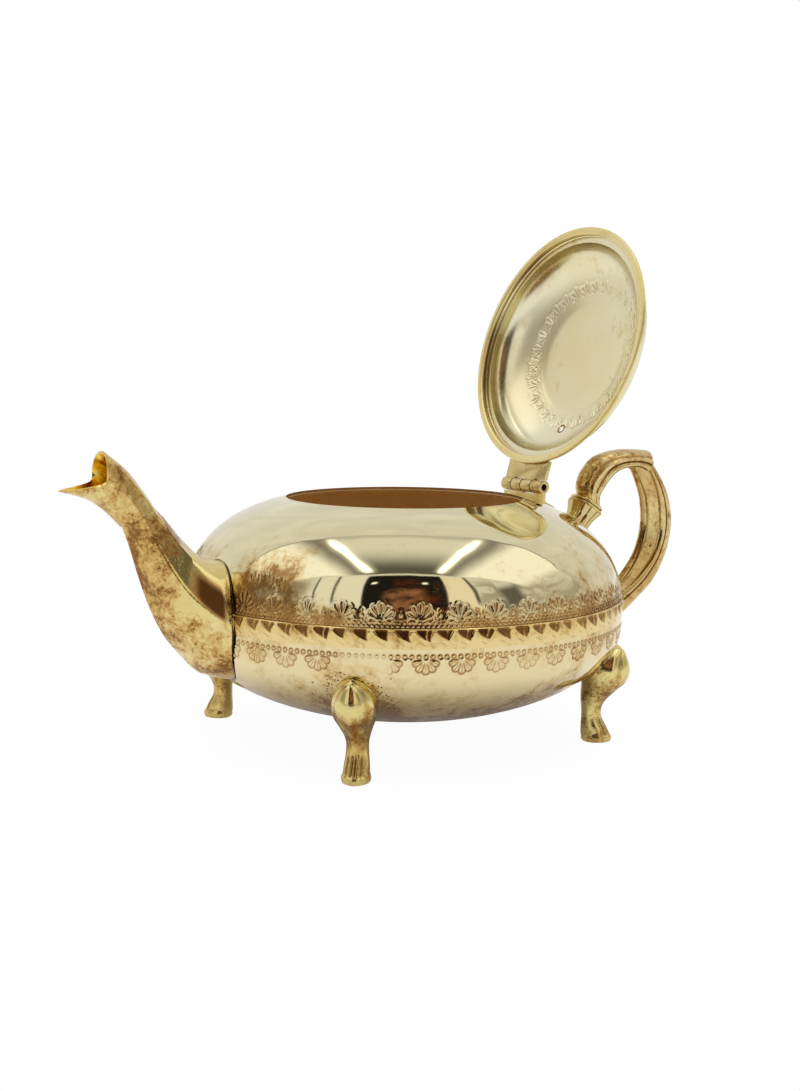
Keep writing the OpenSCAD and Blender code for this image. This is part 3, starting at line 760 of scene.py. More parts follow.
def neck_rings():
    top = ROOT_HALF_H + ROOT_RISE
    bottom = ROOT_RISE - ROOT_HALF_H
    root = [
        root_ring(),
        spout_ring((0.4, top + 1.2), (2.2, bottom + 3.6), ROOT_HALF_W * 0.98, 0.1),
        spout_ring((4.0, top + 3.6), (8.6, bottom + 9.6), ROOT_HALF_W * 0.88, 0.5),
        spout_ring((8.0, top + 7.4), (15.3, bottom + 17.8), ROOT_HALF_W * 0.74)]
    bend = [spout_ring(JOINT + Vector(upper), JOINT + Vector(under),
                       lerp(NECK_D / 2, ROOT_HALF_W, share))
            for upper, under, share in (((-12.4, -4.8), (-3.6, -29.6), 0.38),
                                        ((-9.2, -0.8), (0.1, -19.0), 0.18),
                                        ((-7.2, 1.2), (2.9, -9.6), 0.05))]
    return root + bend + [spout_ring(JOINT + ACROSS, JOINT - ACROSS, NECK_D / 2)]


def spout_neck():
    outer = [clear_of_body(ring) for ring in spline(neck_rings(), 8)]
    inner = [clear_of_body(inset(ring, SPOUT_WALL)) for ring in outer]
    bm = cast(outer + inner[::-1], hollow=True)

    # A dark, smooth-edged patch along the neck's upper side, laid on through the carving marks:
    # painted dark reflection.
    def dark_reflection_patch(j, k):
        a = (360 * j / CAST_POINTS + 180) % 360 - 180
        round_it = smooth(a, -2, 8) * (1 - smooth(a, 26, 44))
        return 0.72 * round_it * smooth(k, 5, 9) * (1 - smooth(k, 17, 27))

    mark_carving(bm, dark_reflection_patch)
    piece_from(bm, "spout_neck_cast", "pot", SPOUT, ["spout_neck"])


def rim_ring():
    """The beak's rim, from the hood's peak down both sides and out to a pointed lip."""
    def point(a):
        down = max(0.0, -sind(a))
        up = max(0.0, sind(a))
        out = SPOUT_REACH - MOUTH_BACK * (1 - down ** 4) - 0.7 * up * up
        rise = (LIP_RISE + MOUTH_RISE * (1 - down ** 0.8)
                + (HOOD_RISE - MOUTH_RISE) * up ** 1.1)
        w = MOUTH_W / 2 * math.copysign(abs(cosd(a)) ** 0.8, cosd(a))
        return -(BODY_R + out), -w, BELLY_Z + rise

    return ring_of(point)


def spout_beak():
    start = ALONG * (SOLDER * 2)
    keys = [spout_ring(JOINT + ACROSS * 1.05 + start, JOINT - ACROSS * 1.05 + start,
                       NECK_D / 2 * 1.05)]
    keys += [spout_ring(JOINT + Vector(upper), JOINT + Vector(under),
                        lerp(NECK_D, MOUTH_W, share) / 2, depth)
             for upper, under, share, depth in (((-1.4, 9.2), (11.2, 2.2), 0.1, 0.7),
                                                ((3.8, 15.4), (16.9, 6.0), 0.5, 0.3))]
    keys.append(rim_ring())
    outer = spline(keys, 10)
    last = len(outer) - 1
    inner = [inset(ring, lerp(SPOUT_WALL, SPOUT_WALL * 0.6, i / last))
             for i, ring in enumerate(outer)]
    bm = cast(outer + inner[::-1], hollow=True)
    level = bm.verts.layers.int["level"]
    mark_inside(bm, lambda v: v[level] > last)
    piece_from(bm, "spout_beak_cast", "pot", SPOUT, ["spout_beak"])


def spout_solder_shade():
    """A line of solder where the spout meets the body, widest at the sides, coloured dark as
    painted shade for the shadow in the open seam.
    """
    ring = root_ring(0.12)
    c = middle(ring)
    thick = [0.1 + 0.34 * abs(cosd(360 * j / CAST_POINTS)) ** 3 for j in range(CAST_POINTS)]
    keys = [[p + (p - c).normalized() * t * (1 + cosd(a)) + Vector((-t * 0.5 * sind(a), 0, 0))
             for p, t in zip(ring, thick)] for a in steps(0.0, 360.0, 8)]
    piece_from(cast(keys, hollow=True), "spout_solder_shade_line", "pot", DARK_MARKS_AND_SHADE, crisp=60)


# ---- handle ----
COLLAR_DIR = Vector((sind(COLLAR_LEAN), cosd(COLLAR_LEAN)))
COLLAR_SIDE = Vector((-cosd(COLLAR_LEAN), sind(COLLAR_LEAN)))


def handle_stations():
    """Outer and inner point [out, up] and the width at each station of the grip."""
    r, t, w = HANDLE_REACH, HANDLE_RISE, GRIP_W
    foot_at = COLLAR_AT + COLLAR_DIR * (2 * COLLAR_T + SOLDER)
    half = COLLAR_SIDE * 4.4
    grip = [(Vector((r - a, t - b)), Vector((r - c, t - d)), w * share) for a, b, c, d, share in (
        (48.8, 13.2, 40.6, 18.2, 0.72), (45.9, 7.0, 38.2, 14.0, 0.78),
        (40.1, 2.4, 34.2, 9.6, 0.86), (31.5, 0.3, 29.2, 7.2, 0.93),
        (22.2, 0, 22.4, 6.8, 1), (12.9, 0.8, 17.2, 8.2, 0.92),
        (13.2, 3.6, 15.6, 9.6, 0.96), (7.2, 11.4, 13.2, 13.8, 1),
        (2.4, 18.8, 10.6, 20.4, 1), (0, 27.8, 9.5, 28.4, 1),
        (0.5, 36.4, 10.2, 35.8, 1), (3.3, 45.8, 13.3, 43.4, 0.97),
        (8.9, 54.8, 18.5, 49.8, 0.92), (16.3, 60.9, 24.5, 55.0, 0.86))]
    landing = [(Vector((r - a, LANDING_Z - b)), Vector((r - c, LANDING_Z + d)), w * share)
               for a, b, c, d, share in (
                   (25.5, 3.6, 31.2, 5.2, 0.8), (35, 5.0, 38, 3.8, 0.76),
                   (43.5, 5.2, 44, 4.2, 0.78))]
    return [(foot_at + half, foot_at - half, w * 0.68)] + grip + landing


def grip_section():
    """Half of the section and its mirror: (share of thickness, share of half width)."""
    keys = [(CHANNEL, 0.0), (CHANNEL, 0.3), (CHANNEL * 0.9, 0.52), (CHANNEL * 0.2, 0.66),
            (-0.02, 0.74), (0.0, 0.86), (0.08, 0.96), (0.16, 1.0), (0.24, 0.97), (0.3, 0.9),
            (0.42, 0.9), (0.56, 0.86), (0.7, 0.75), (0.82, 0.58), (0.92, 0.38), (0.98, 0.19),
            (1.0, 0.0)]
    run = spline([[Vector((a, b, 0))] for a, b in keys], 3)
    half = [(p.x, p.y) for (p,) in run]
    return half + [(a, -b) for a, b in half[-2:0:-1]]


SECTION = grip_section()


def on_leaf(share):
    return smooth(share, 0.02, 0.05) * (1 - smooth(share, 0.4, 0.42))


def grip_leaf(thick, side, share):
    """Carved leaf on the handle's upper part, from the collar to the thumb tip: how far
    it stands out, as a share of the thickness."""
    ribs = 0.007 * math.sin(share * 170 - abs(side) * 7) * smooth(thick, 0.55, 0.7)
    grain = 0.026 * noise.noise(Vector((share * 90, side * 4.4, thick * 6)))
    cord = 0.09 * hump(thick - 0.5, 0.05) - 0.04 * hump(thick - 0.62, 0.05)
    return on_leaf(share) * (ribs + grain * smooth(thick, 0.5, 0.62) + cord)


def grip_ring(outer, inner, w, share):
    """One ring of the grip, with the leaf carved over its top."""
    ring = []
    c = inner.lerp(outer, 0.5)
    for thick, side in SECTION:
        deep = grip_leaf(thick, side, share)
        q = inner.lerp(outer, thick)
        q += (q - c) * deep * 1.2
        ring.append(Vector((BODY_R + q.x, side * (1 + deep) * w / 2, BELLY_Z + q.y)))
    return ring


def seated(ring, share):
    c = middle(ring)
    return [Vector((side_x(q.z, q.y), q.y, q.z)) for q in (c.lerp(p, share) for p in ring)]


def handle():
    stations = handle_stations()
    keys = [[Vector((*a, 0)), Vector((*b, 0)), Vector((w, 0, 0))] for a, b, w in stations]
    run = spline(keys, 12)
    last = len(run) - 1
    rings = [grip_ring(Vector(a[:2]), Vector(b[:2]), w.x, i / last)
             for i, (a, b, w) in enumerate(run)]
    outer, inner, w = stations[-1]
    c = BELLY_Z + (outer.y + inner.y) / 2
    landing = []
    for thick, side in SECTION:
        y = side * w * 0.55
        z = c + (BELLY_Z + lerp(inner.y, outer.y, thick) - c) * 1.15
        landing.append(Vector((side_x(z, y), y, z)))
    rings += [seated(landing, share) for share in (1, 0.55, 0.1)]

    def darkening(j, k):
        thick, side = SECTION[j]
        share = k / last
        leaf = 0.12 * on_leaf(share) * smooth(thick, 0.4, 0.6) - 5 * grip_leaf(thick, side, share)
        corner = hump(abs(side) - 0.6, 0.1) * (1 - smooth(thick, 0.1, 0.2))
        edge = 0.8 * hump(thick - 0.31, 0.05) * smooth(share, 0.08, 0.2)
        return leaf + 0.5 * corner + edge - 0.4 * hump(thick - 0.12, 0.07)

    bm = cast(rings)
    mark_carving(bm, darkening)
    collar(bm, COLLAR_T + SOLDER * 2, COLLAR_T + 0.4, COLLAR_R * 0.95)
    piece_from(bm, "handle_cast", "pot", CASTING, ["handle"])


def collar(bm, start, thick, radius):
    """A round-edged plate across the handle's collar."""
    edge = rounded(radius - thick / 2, thick / 2, thick / 2, range(-90, 91, 15))
    plate = turned([(0, 0)] + edge + [(0, thick)], 72)
    at = COLLAR_AT + COLLAR_DIR * start
    place = (Matrix.Translation((BODY_R + at.x, 0, BELLY_Z + at.y))
             @ Matrix.Rotation(math.radians(COLLAR_LEAN), 4, "Y"))
    bmesh.ops.remove_doubles(plate, verts=plate.verts, dist=WELD)
    bmesh.ops.transform(plate, matrix=place, verts=plate.verts)
    mesh = mesh_of(plate, "plate")
    bm.from_mesh(mesh)
    bpy.data.meshes.remove(mesh)


def socket_ring(top, bottom, w):
    """A ring of the socket, pinched into eight flutes."""
    return side_ring(top, bottom, w, lambda a: 1 - 0.1 * (1 - abs(cosd(a * 4))), 1)


def socket_root(a):
    """A point of the socket's foot on the body."""
    y = SOCKET_HALF_W * cosd(a)
    z = BELLY_Z + SOCKET_RISE + SOCKET_HALF_H * sind(a)
    return side_x(z, y), y, z


def handle_socket():
    c = COLLAR_AT
    s = COLLAR_SIDE * COLLAR_R
    root = ring_of(socket_root)
    waist = c - COLLAR_DIR * 4.2
    rings = spline([
        root,
        socket_ring(c + Vector((-9.2, -3.0)), c + Vector((-2.6, -12.6)), 5.2),
        socket_ring(waist + s * 0.76, waist - s * 0.76, COLLAR_R * 0.76),
        socket_ring(c + s * 0.97, c - s * 0.97, COLLAR_R * 0.97)], 8)
    rings = [seated(root, 0.1), seated(root, 0.55)] + [clear_of_body(ring) for ring in rings]
    bm = cast(rings)
    collar(bm, 0.0, COLLAR_T, COLLAR_R)
    piece_from(bm, "handle_socket_cast", "pot", CASTING, ["handle_socket"])


# ---- lid ----
OPENED = (Matrix.Translation(PIN) @ Matrix.Rotation(math.radians(OPEN_ANGLE), 4, "Y")
          @ Matrix.Translation(-PIN))
SCROLL_COUNT = 30
SCROLL_ROOT = 24.6
SCROLL_END = 34.4


def dome_curve(t, grow=0.0):
    return arc(DOME_R + grow, DOME_Z, DOME_H + grow, DOME_N, t)


def dome_angle(r, grow=0.0):
    return ellipse_angle(r / (DOME_R + grow), DOME_N)


CROWN_Z = dome_curve(dome_angle(CROWN_R + 0.6))[1] + CROWN_STEP


def dome_side(grow):
    """The dome's curve from its foot to the crown, fine where the scrolls are pressed."""
    start, end = SCROLL_END + 0.1, CROWN_R + 0.6
    wide = [dome_curve(t, grow) for t in steps(0, dome_angle(start, grow), 12)]
    return wide + [dome_curve(dome_angle(r, grow), grow) for r in rows(start, end, 0.42) + [end]]


def lid_scrolls(co):
    r = radius_of(co)
    if r < STEP_R + 0.3 and co.z < DOME_Z - DOME_WALL - 0.5:
        return 0.0, 0.9
    if not CROWN_R + 0.8 < r < SCROLL_END or co.z < DOME_Z + 2:
        return None
    azimuth = azimuth_of(co)
    u = nearest(azimuth, 360 / SCROLL_COUNT) * math.radians(1) * r
    petal = partial(outlined, rise=0.24, groove=0.16, width=0.3)
    v = nearest(azimuth, 360 / SCROLL_COUNT, 180 / SCROLL_COUNT) * math.radians(1) * r
    rise, cut = strongest([fan(u, r - SCROLL_ROOT, 5, 130, 6.0, 0.25, petal),
                           ring_mark(v, r - SCROLL_ROOT - 4.4, 0.8, 0.2, 0.16),
                           ring_mark(v, r - SCROLL_ROOT - 1.6, 0.6, 0.2, 0.16)])
    burr = 1 - smooth(math.hypot(co.x - VENT_AT, co.y) - VENT_D / 2, 0.3, 0.9)
    # The pattern is struck from the outside and only shows faintly within.
    if co.z > dome_curve(dome_angle(r))[1] - DOME_WALL / 2:
        return rise, max(cut * 0.8, burr)
    faint = 0.3 + 0.7 * smooth(hand_weight(azimuth * 1.7, r, 6), 0.5, 1.0)
    return -rise * 0.75 * faint, max(cut * 0.1, burr)


def lid_dome():
    foot_z = LID_Z + RIM_T + SOLDER
    corner = DOME_WALL / 2
    crown = [(r, CROWN_Z + CROWN_SWELL * (1 - (r / CROWN_R) ** 2)) for r in steps(CROWN_R, 0, 8)]
    under = [(r, z - DOME_WALL - 0.25 * smooth(r, 18, CROWN_R)) for r, z in crown]
    step_top = rounded(STEP_R + DOME_WALL - corner, DOME_Z - corner, corner, range(0, 91, 30))
    profile = ([(STEP_R, foot_z), (STEP_R + DOME_WALL, foot_z)] + step_top + dome_side(0)
               + crown + [(0, CROWN_Z + CROWN_SWELL)])
    back = ([(0, CROWN_Z + CROWN_SWELL - DOME_WALL)] + under[::-1] + dome_side(-DOME_WALL)[::-1]
            + [(DOME_R - DOME_WALL, DOME_Z - DOME_WALL), (STEP_R - 0.2, DOME_Z - DOME_WALL),
               (STEP_R, DOME_Z - DOME_WALL - 0.2)])
    bm = turned(back + profile, LID_TURNS)
    chase(bm, lid_scrolls)
    lid = piece_from(bm, "lid_dome_spun", "lid", LID, ["lid_dome"], turn=OPENED,
                     crisp=40)
    drill = bmesh.new()
    drill_rod(drill, Vector((VENT_AT, 0, LID_Z + DOME_H)), Vector((0, 0, 1)), VENT_D, DOME_H * 2)
    bmesh.ops.transform(drill, matrix=OPENED, verts=drill.verts)
    drilled(lid, drill)


def lid_rim():
    edge = RIM_T * 0.35
    profile = [(STEP_R + 0.15, LID_Z), (LID_R - edge, LID_Z)]
    profile += rounded(LID_R - edge, LID_Z + edge, edge, range(-60, 1, 30))
    profile += rounded(LID_R - edge, LID_Z + RIM_T - edge, edge, range(0, 91, 30))
    profile += [(STEP_R, LID_Z + RIM_T), (STEP_R, LID_Z + 0.15)]
    piece_from(turned(profile, 360), "lid_rim_ring", "lid", RIM, ["lid_rim"],
               turn=OPENED)


def finial():
    base = CROWN_Z + CROWN_SWELL + SOLDER
    stem_z = FINIAL_H * 0.3
    bud_z = FINIAL_H * 0.56
    profile = [(0, 0), (FINIAL_FOOT_R, 0), (FINIAL_FOOT_R, 0.7), (FINIAL_FOOT_R - 0.4, 1.2),
               (FINIAL_FOOT_R - 1, 1.5), (FINIAL_FOOT_R * 0.75, 1.75), (FINIAL_FOOT_R * 0.6, 2.2),
               (FINIAL_FOOT_R * 0.42, 2.9), (BUD_R * 0.42, stem_z * 0.75), (BUD_R * 0.42, stem_z),
               (BUD_R * 0.7, stem_z + 0.8)]
    profile += [(BUD_R * cosd(a), bud_z + (bud_z - stem_z - 0.8) * 1.2 * sind(a))
                for a in range(-50, 61, 5)]
    profile += [(BUD_R * 0.3, FINIAL_H - 0.8), (BUD_R * 0.18, FINIAL_H - 0.1), (0, FINIAL_H)]
    bm = turned([(r, z + base) for r, z in profile], 96)

    def flutes(co):
        up = co.z - base
        if up < stem_z + 0.8 or up > FINIAL_H - 1.5:
            return None
        groove = hump(nearest(azimuth_of(co), 45), 5) * smooth(up, stem_z + 0.8, bud_z - 1)
        return -0.4 * groove, groove * 0.6

    chase(bm, flutes)
    piece_from(bm, "finial_turned", "lid", CASTING, ["finial"], turn=OPENED)


# ---- hinge ----
def eased_copy(node, name, body, finish, ease):
    """A copy of a frame piece with its edges eased, which stands in for it."""
    bm = bmesh.new()
    bm.from_mesh(frame["nodes"][node].data)
    bmesh.ops.scale(bm, vec=(1 / MM,) * 3, verts=bm.verts)
    bmesh.ops.remove_doubles(bm, verts=bm.verts, dist=1e-3)
    bmesh.ops.dissolve_limit(bm, angle_limit=math.radians(1), verts=bm.verts, edges=bm.edges)
    edges = [e for e in bm.edges if len(e.link_faces) == 2
             and e.calc_face_angle(0) > math.radians(35)]
    bmesh.ops.bevel(bm, geom=edges, offset=ease, offset_type="OFFSET", segments=2,
                    profile=0.5, affect="EDGES", clamp_overlap=True, material=-1)
    piece_from(bm, name, body, finish, [node], crisp=40)


def knuckle_gap_shade():
    """Dark rings filling the gaps between the hinge's knuckles: painted shade."""
    bm = bmesh.new()
    barrel = high("hinge_body_leaf").z - PIN.z
    width = high("hinge_lid_leaf").y - low("hinge_body_leaf").y
    for i in range(1, KNUCKLES):
        at = Vector((PIN.x, low("hinge_body_leaf").y + width * i / KNUCKLES, PIN.z))
        drill_rod(bm, at, Vector((0, 1, 0)), 2 * barrel + 0.06, 0.46)
    piece_from(bm, "hinge_knuckle_gap_shade", "pot", DARK_MARKS_AND_SHADE, crisp=40)


def hinge():
    knuckle_gap_shade()
    eased_copy("hinge_body_leaf", "hinge_leaf_fixed", "pot", HINGE, 0.18)
    eased_copy("hinge_lid_leaf", "hinge_leaf_moving", "lid", HINGE, 0.18)
    eased_copy("hinge_pin", "hinge_pin_rod", "pot", PIN_METAL, 0.2)


# ---- materials ----
def srgb(red, green, blue):
    """A colour as seen on a screen, 0 to 255, as the linear colour that renders so."""
    return tuple(((c / 255 + 0.055) / 1.055) ** 2.4 for c in (red, green, blue)) + (1.0,)


def drawn(operation, swapped=False):
    """A method of Value that draws the node for one operation."""
    def method(self, *others):
        values = (*others, self) if swapped else (self, *others)
        return self.graph.math(operation, *values)

    return method


class Value:
    """A socket that varies over a surface and takes part in Python's arithmetic."""

    def __init__(self, graph, socket):
        self.graph = graph
        self.socket = socket

    at_least = drawn("MAXIMUM")
    size = drawn("ABSOLUTE")
    root = drawn("SQRT")
    __add__ = __radd__ = drawn("ADD")
    __sub__ = drawn("SUBTRACT")
    __rsub__ = drawn("SUBTRACT", swapped=True)
    __mul__ = __rmul__ = drawn("MULTIPLY")
    __truediv__ = drawn("DIVIDE")


class Graph:
    """A shader being drawn, node by node."""

    def __init__(self, tree):
        self.tree = tree
        tree.nodes.clear()

    def add(self, kind, settings=None, inputs=(), out=0):
        """A node of one kind: its settings, then its sockets' values or links."""
        node = self.tree.nodes.new("ShaderNode" + kind)
        for key, value in (settings or {}).items():
            setattr(node, key, value)
        pairs = inputs.items() if isinstance(inputs, dict) else enumerate(inputs)
        for key, value in pairs:
            if isinstance(value, Value):
                self.tree.links.new(value.socket, node.inputs[key])
            else:
                node.inputs[key].default_value = value
        return Value(self, node.outputs[out]) if node.outputs else None

    def math(self, operation, *values):
        return self.add("Math", {"operation": operation}, values)

    def vector(self, operation, *values):
        return self.add("VectorMath", {"operation": operation}, values, out="Value")

    def axis(self, vector, name):
        return self.add("SeparateXYZ", None, (vector,), out=name)

    def attribute(self, name):
        return self.add("Attribute", {"attribute_name": name}, out="Fac")

    def noise(self, place, scale, detail=3.0, roughness=0.55, warp=0.0):
        return self.add("TexNoise", None, {"Vector": place, "Scale": scale, "Detail": detail,
                                           "Roughness": roughness, "Distortion": warp})

    def between(self, value, start, end):
        """0 below start and 1 above end, with a smooth turn."""
        return self.add("MapRange", {"interpolation_type": "SMOOTHSTEP"}, (value, start, end))

    def span(self, value, start, end, soft):
        """1 from start to end, with soft edges."""
        return self.between(value, start - soft, start + soft) * (
            1 - self.between(value, end - soft, end + soft))

    def blend(self, share, a, b):
        return self.add("Mix", {"data_type": "RGBA"}, {0: share, 6: a, 7: b}, out=2)

    def coats(self, base, *coats):
        """Coats of (share, colour) over a base, in turn."""
        for share, colour in coats:
            base = self.blend(share, base, colour)
        return base

    def bump(self, strength, distance, height, under=()):
        return self.add("Bump", None, {"Strength": strength, "Distance": distance,
                                       "Height": height, **dict(under)})


def brass(name, bright, deep, veil, stain, tarnish=0.5, patch=90, gloss=0.1, dull=0.34,
          speckle=0.3, dents=0.1, pits=0.0, levels=None, spots=(), tide=None,
          lining=((226, 176, 104), 0.25, 0.3)):
    """Aged brass. A light veil and a dark stain lie over the metal in ragged patches: the
    higher tarnish is, the less there is of both. levels are the heights (mm) between which
    the metal turns from deep to bright, spots are (x, y, z, radius, weight) in mm with more
    tarnish or less, tide is a band of heights with more of it, lining the colour, metalness
    and roughness of a hollow's inner side."""
    material = bpy.data.materials.new(name)
    material.use_nodes = True
    g = Graph(material.node_tree)
    place = g.add("TexCoord", out="Object")
    height = g.axis(place, "Z")
    slow = g.noise(place, 24, 2)
    if levels:
        slow = slow * 0.5 + g.between(height, levels[0] * MM, levels[1] * MM) - 0.25
    metal = g.blend(g.between(slow, 0.3, 0.7), srgb(*deep), srgb(*bright))

    age = g.noise(place, patch, 9, 0.72, 0.25) * 0.68 + g.noise(place, patch * 6, 5, 0.7) * 0.32
    for x, y, z, radius, weight in spots:
        away = g.vector("DISTANCE", place, (x * MM, y * MM, z * MM))
        age = age + (1 - g.between(away, radius * 0.4 * MM, radius * MM)) * weight
    if tide:
        start, end, weight = tide
        age = age + g.span(height, start * MM, end * MM, 2.5 * MM) * weight
    cut = g.attribute("cut")
    inside = g.attribute("inside")
    age = age - g.attribute("proud") * 0.04 + cut * 0.05
    light = g.between(age, tarnish - 0.09, tarnish + 0.05)
    dark = g.between(age, tarnish + 0.015, tarnish + 0.11)
    specks = g.between(g.noise(place, 1500, 2, 0.6), 0.60, 0.72) * speckle
    specks = specks * (0.25 + light * 0.75)
    lining_colour, lining_metal, lining_rough = lining
    colour = g.coats(
        metal,
        (light * 0.7, srgb(*veil)),
        (dark * 0.85, srgb(*stain)),
        (specks, srgb(86, 54, 24)),
        # The cut coats darken grooves and hollows with patina; where the spout's neck and the
        # belly band's front are marked, they give painted dark reflection.
        (g.between(cut, 0.04, 0.5) * 0.75, srgb(172, 128, 68)),
        (g.between(cut, 0.4, 1.0) * 0.9, srgb(98, 56, 24)),
        (g.between(cut, 0.85, 1.15) * 0.75, srgb(44, 28, 16)),
        (inside, srgb(*lining_colour)))
    roughness = gloss + light * 0.06 + dark * (dull - gloss) + specks * 0.1 + cut * 0.2
    roughness = roughness * (1 - inside) + inside * lining_rough
    metallic = 1 - inside * (1 - lining_metal)
    hammered = g.bump(dents, 0.004, g.noise(place, 22, 1, 0.4))
    relief = g.bump(dents, 0.0008, g.noise(place, 85, 1, 0.4), {"Normal": hammered})
    if pits:
        relief = g.bump(pits, 0.0004, g.noise(place, 800, 3, 0.6) - dark * 0.3,
                        {"Normal": relief})
    shader = g.add("BsdfPrincipled", None, {"Base Color": colour, "Metallic": metallic,
                                            "Roughness": roughness, "Normal": relief})
    g.add("OutputMaterial", None, (shader,))
    return material


SPUN = brass("spun_sheet", (222, 213, 174), (226, 209, 162), (200, 170, 110), (142, 100, 50),
             tarnish=0.585, patch=70, gloss=0.045, dull=0.16, speckle=0.12, dents=0.14,
             levels=(44, 66), tide=(51, 58, 0.1), lining=((238, 206, 152), 0.0, 0.4),
             spots=((-70, -26, 58, 24, 0.13), (-70, 26, 58, 24, 0.13), (30, -72, 54, 28, 0.08),
                    (0, 0, 100, 84, -0.24), (0, 0, 0, 86, 0.3), (-52, -52, 24, 26, 0.09),
                    (52, -52, 24, 26, 0.09), (10, -66, 20, 24, 0.09)))
BAND = brass("chased_band", (222, 198, 134), (226, 204, 146), (196, 158, 92), (138, 96, 46),
             tarnish=0.56, gloss=0.07, dull=0.2, speckle=0.2, levels=(46, 50),
             tide=(49, 54, 0.06))
SPOUT = brass("spout_patina", (228, 212, 150), (214, 190, 118), (190, 140, 68), (132, 86, 38),
              patch=130, speckle=0.8, dents=0.16, pits=0.12, lining=((236, 200, 84), 1.0, 0.2),
              spots=((-81, -9, 63, 18, -0.24), (-92, 0, 72, 14, 0.06), (-104, -4, 52, 20, 0.05),
                     (-112, 0, 72, 20, 0.05), (-84, -8, 30, 16, 0.03), (-100, -8, 84, 12, 0.04)))
CASTING = brass("cast_brass", (220, 204, 148), (200, 172, 106), (190, 144, 78), (112, 76, 38),
                tarnish=0.52, patch=220, gloss=0.14, speckle=0.6, dents=0.14, pits=0.14,
                spots=((84, 0, 74, 11, -0.14),))
FOOT = brass("foot_brass", (222, 206, 140), (206, 178, 102), (180, 138, 70), (128, 84, 40),
             tarnish=0.53, patch=200, gloss=0.17, dull=0.32, speckle=0.6, dents=0.3, pits=0.12,
             spots=[(x * out, y * out, z, 12, weight) for x in (-1, 1) for y in (-1, 1)
                    for out, z, weight in ((53, 19, 0.09), (59, 32, -0.13))])
HINGE = brass("hinge_brass", (218, 202, 148), (206, 182, 120), (186, 152, 92), (112, 82, 44),
              tarnish=0.56, patch=200, gloss=0.22, speckle=0.4, dents=0.02)
LID = brass("lid_sheet", (233, 227, 196), (230, 218, 174), (206, 184, 126), (170, 134, 74),
            tarnish=0.62, patch=60, gloss=0.24, dull=0.3, speckle=0.05, dents=0.05)
RIM = brass("lid_rim_brass", (232, 218, 164), (228, 208, 142), (204, 172, 100), (140, 100, 52),
            tarnish=0.6, gloss=0.22, dull=0.3, speckle=0.2, dents=0.05)
PIN_METAL = brass("pin_steel", (74, 56, 38), (56, 42, 28), (48, 36, 24), (34, 26, 18),
                  gloss=0.35, dull=0.55, speckle=0.4)
# Dark brown for the punched marks, and the painted shade of the spout's seam solder and the
# hinge's knuckle gaps.
DARK_MARKS_AND_SHADE = brass("dark_marks_and_shade", (66, 46, 26), (86, 62, 34), (52, 38, 22), (34, 24, 14),
              patch=300, gloss=0.3, dull=0.6, speckle=0.4, pits=0.2)


# ---- studio ----
def grey(level, warmth=0.0):
    return (level, level * (1 - warmth * 0.4), level * (1 - warmth), 1)


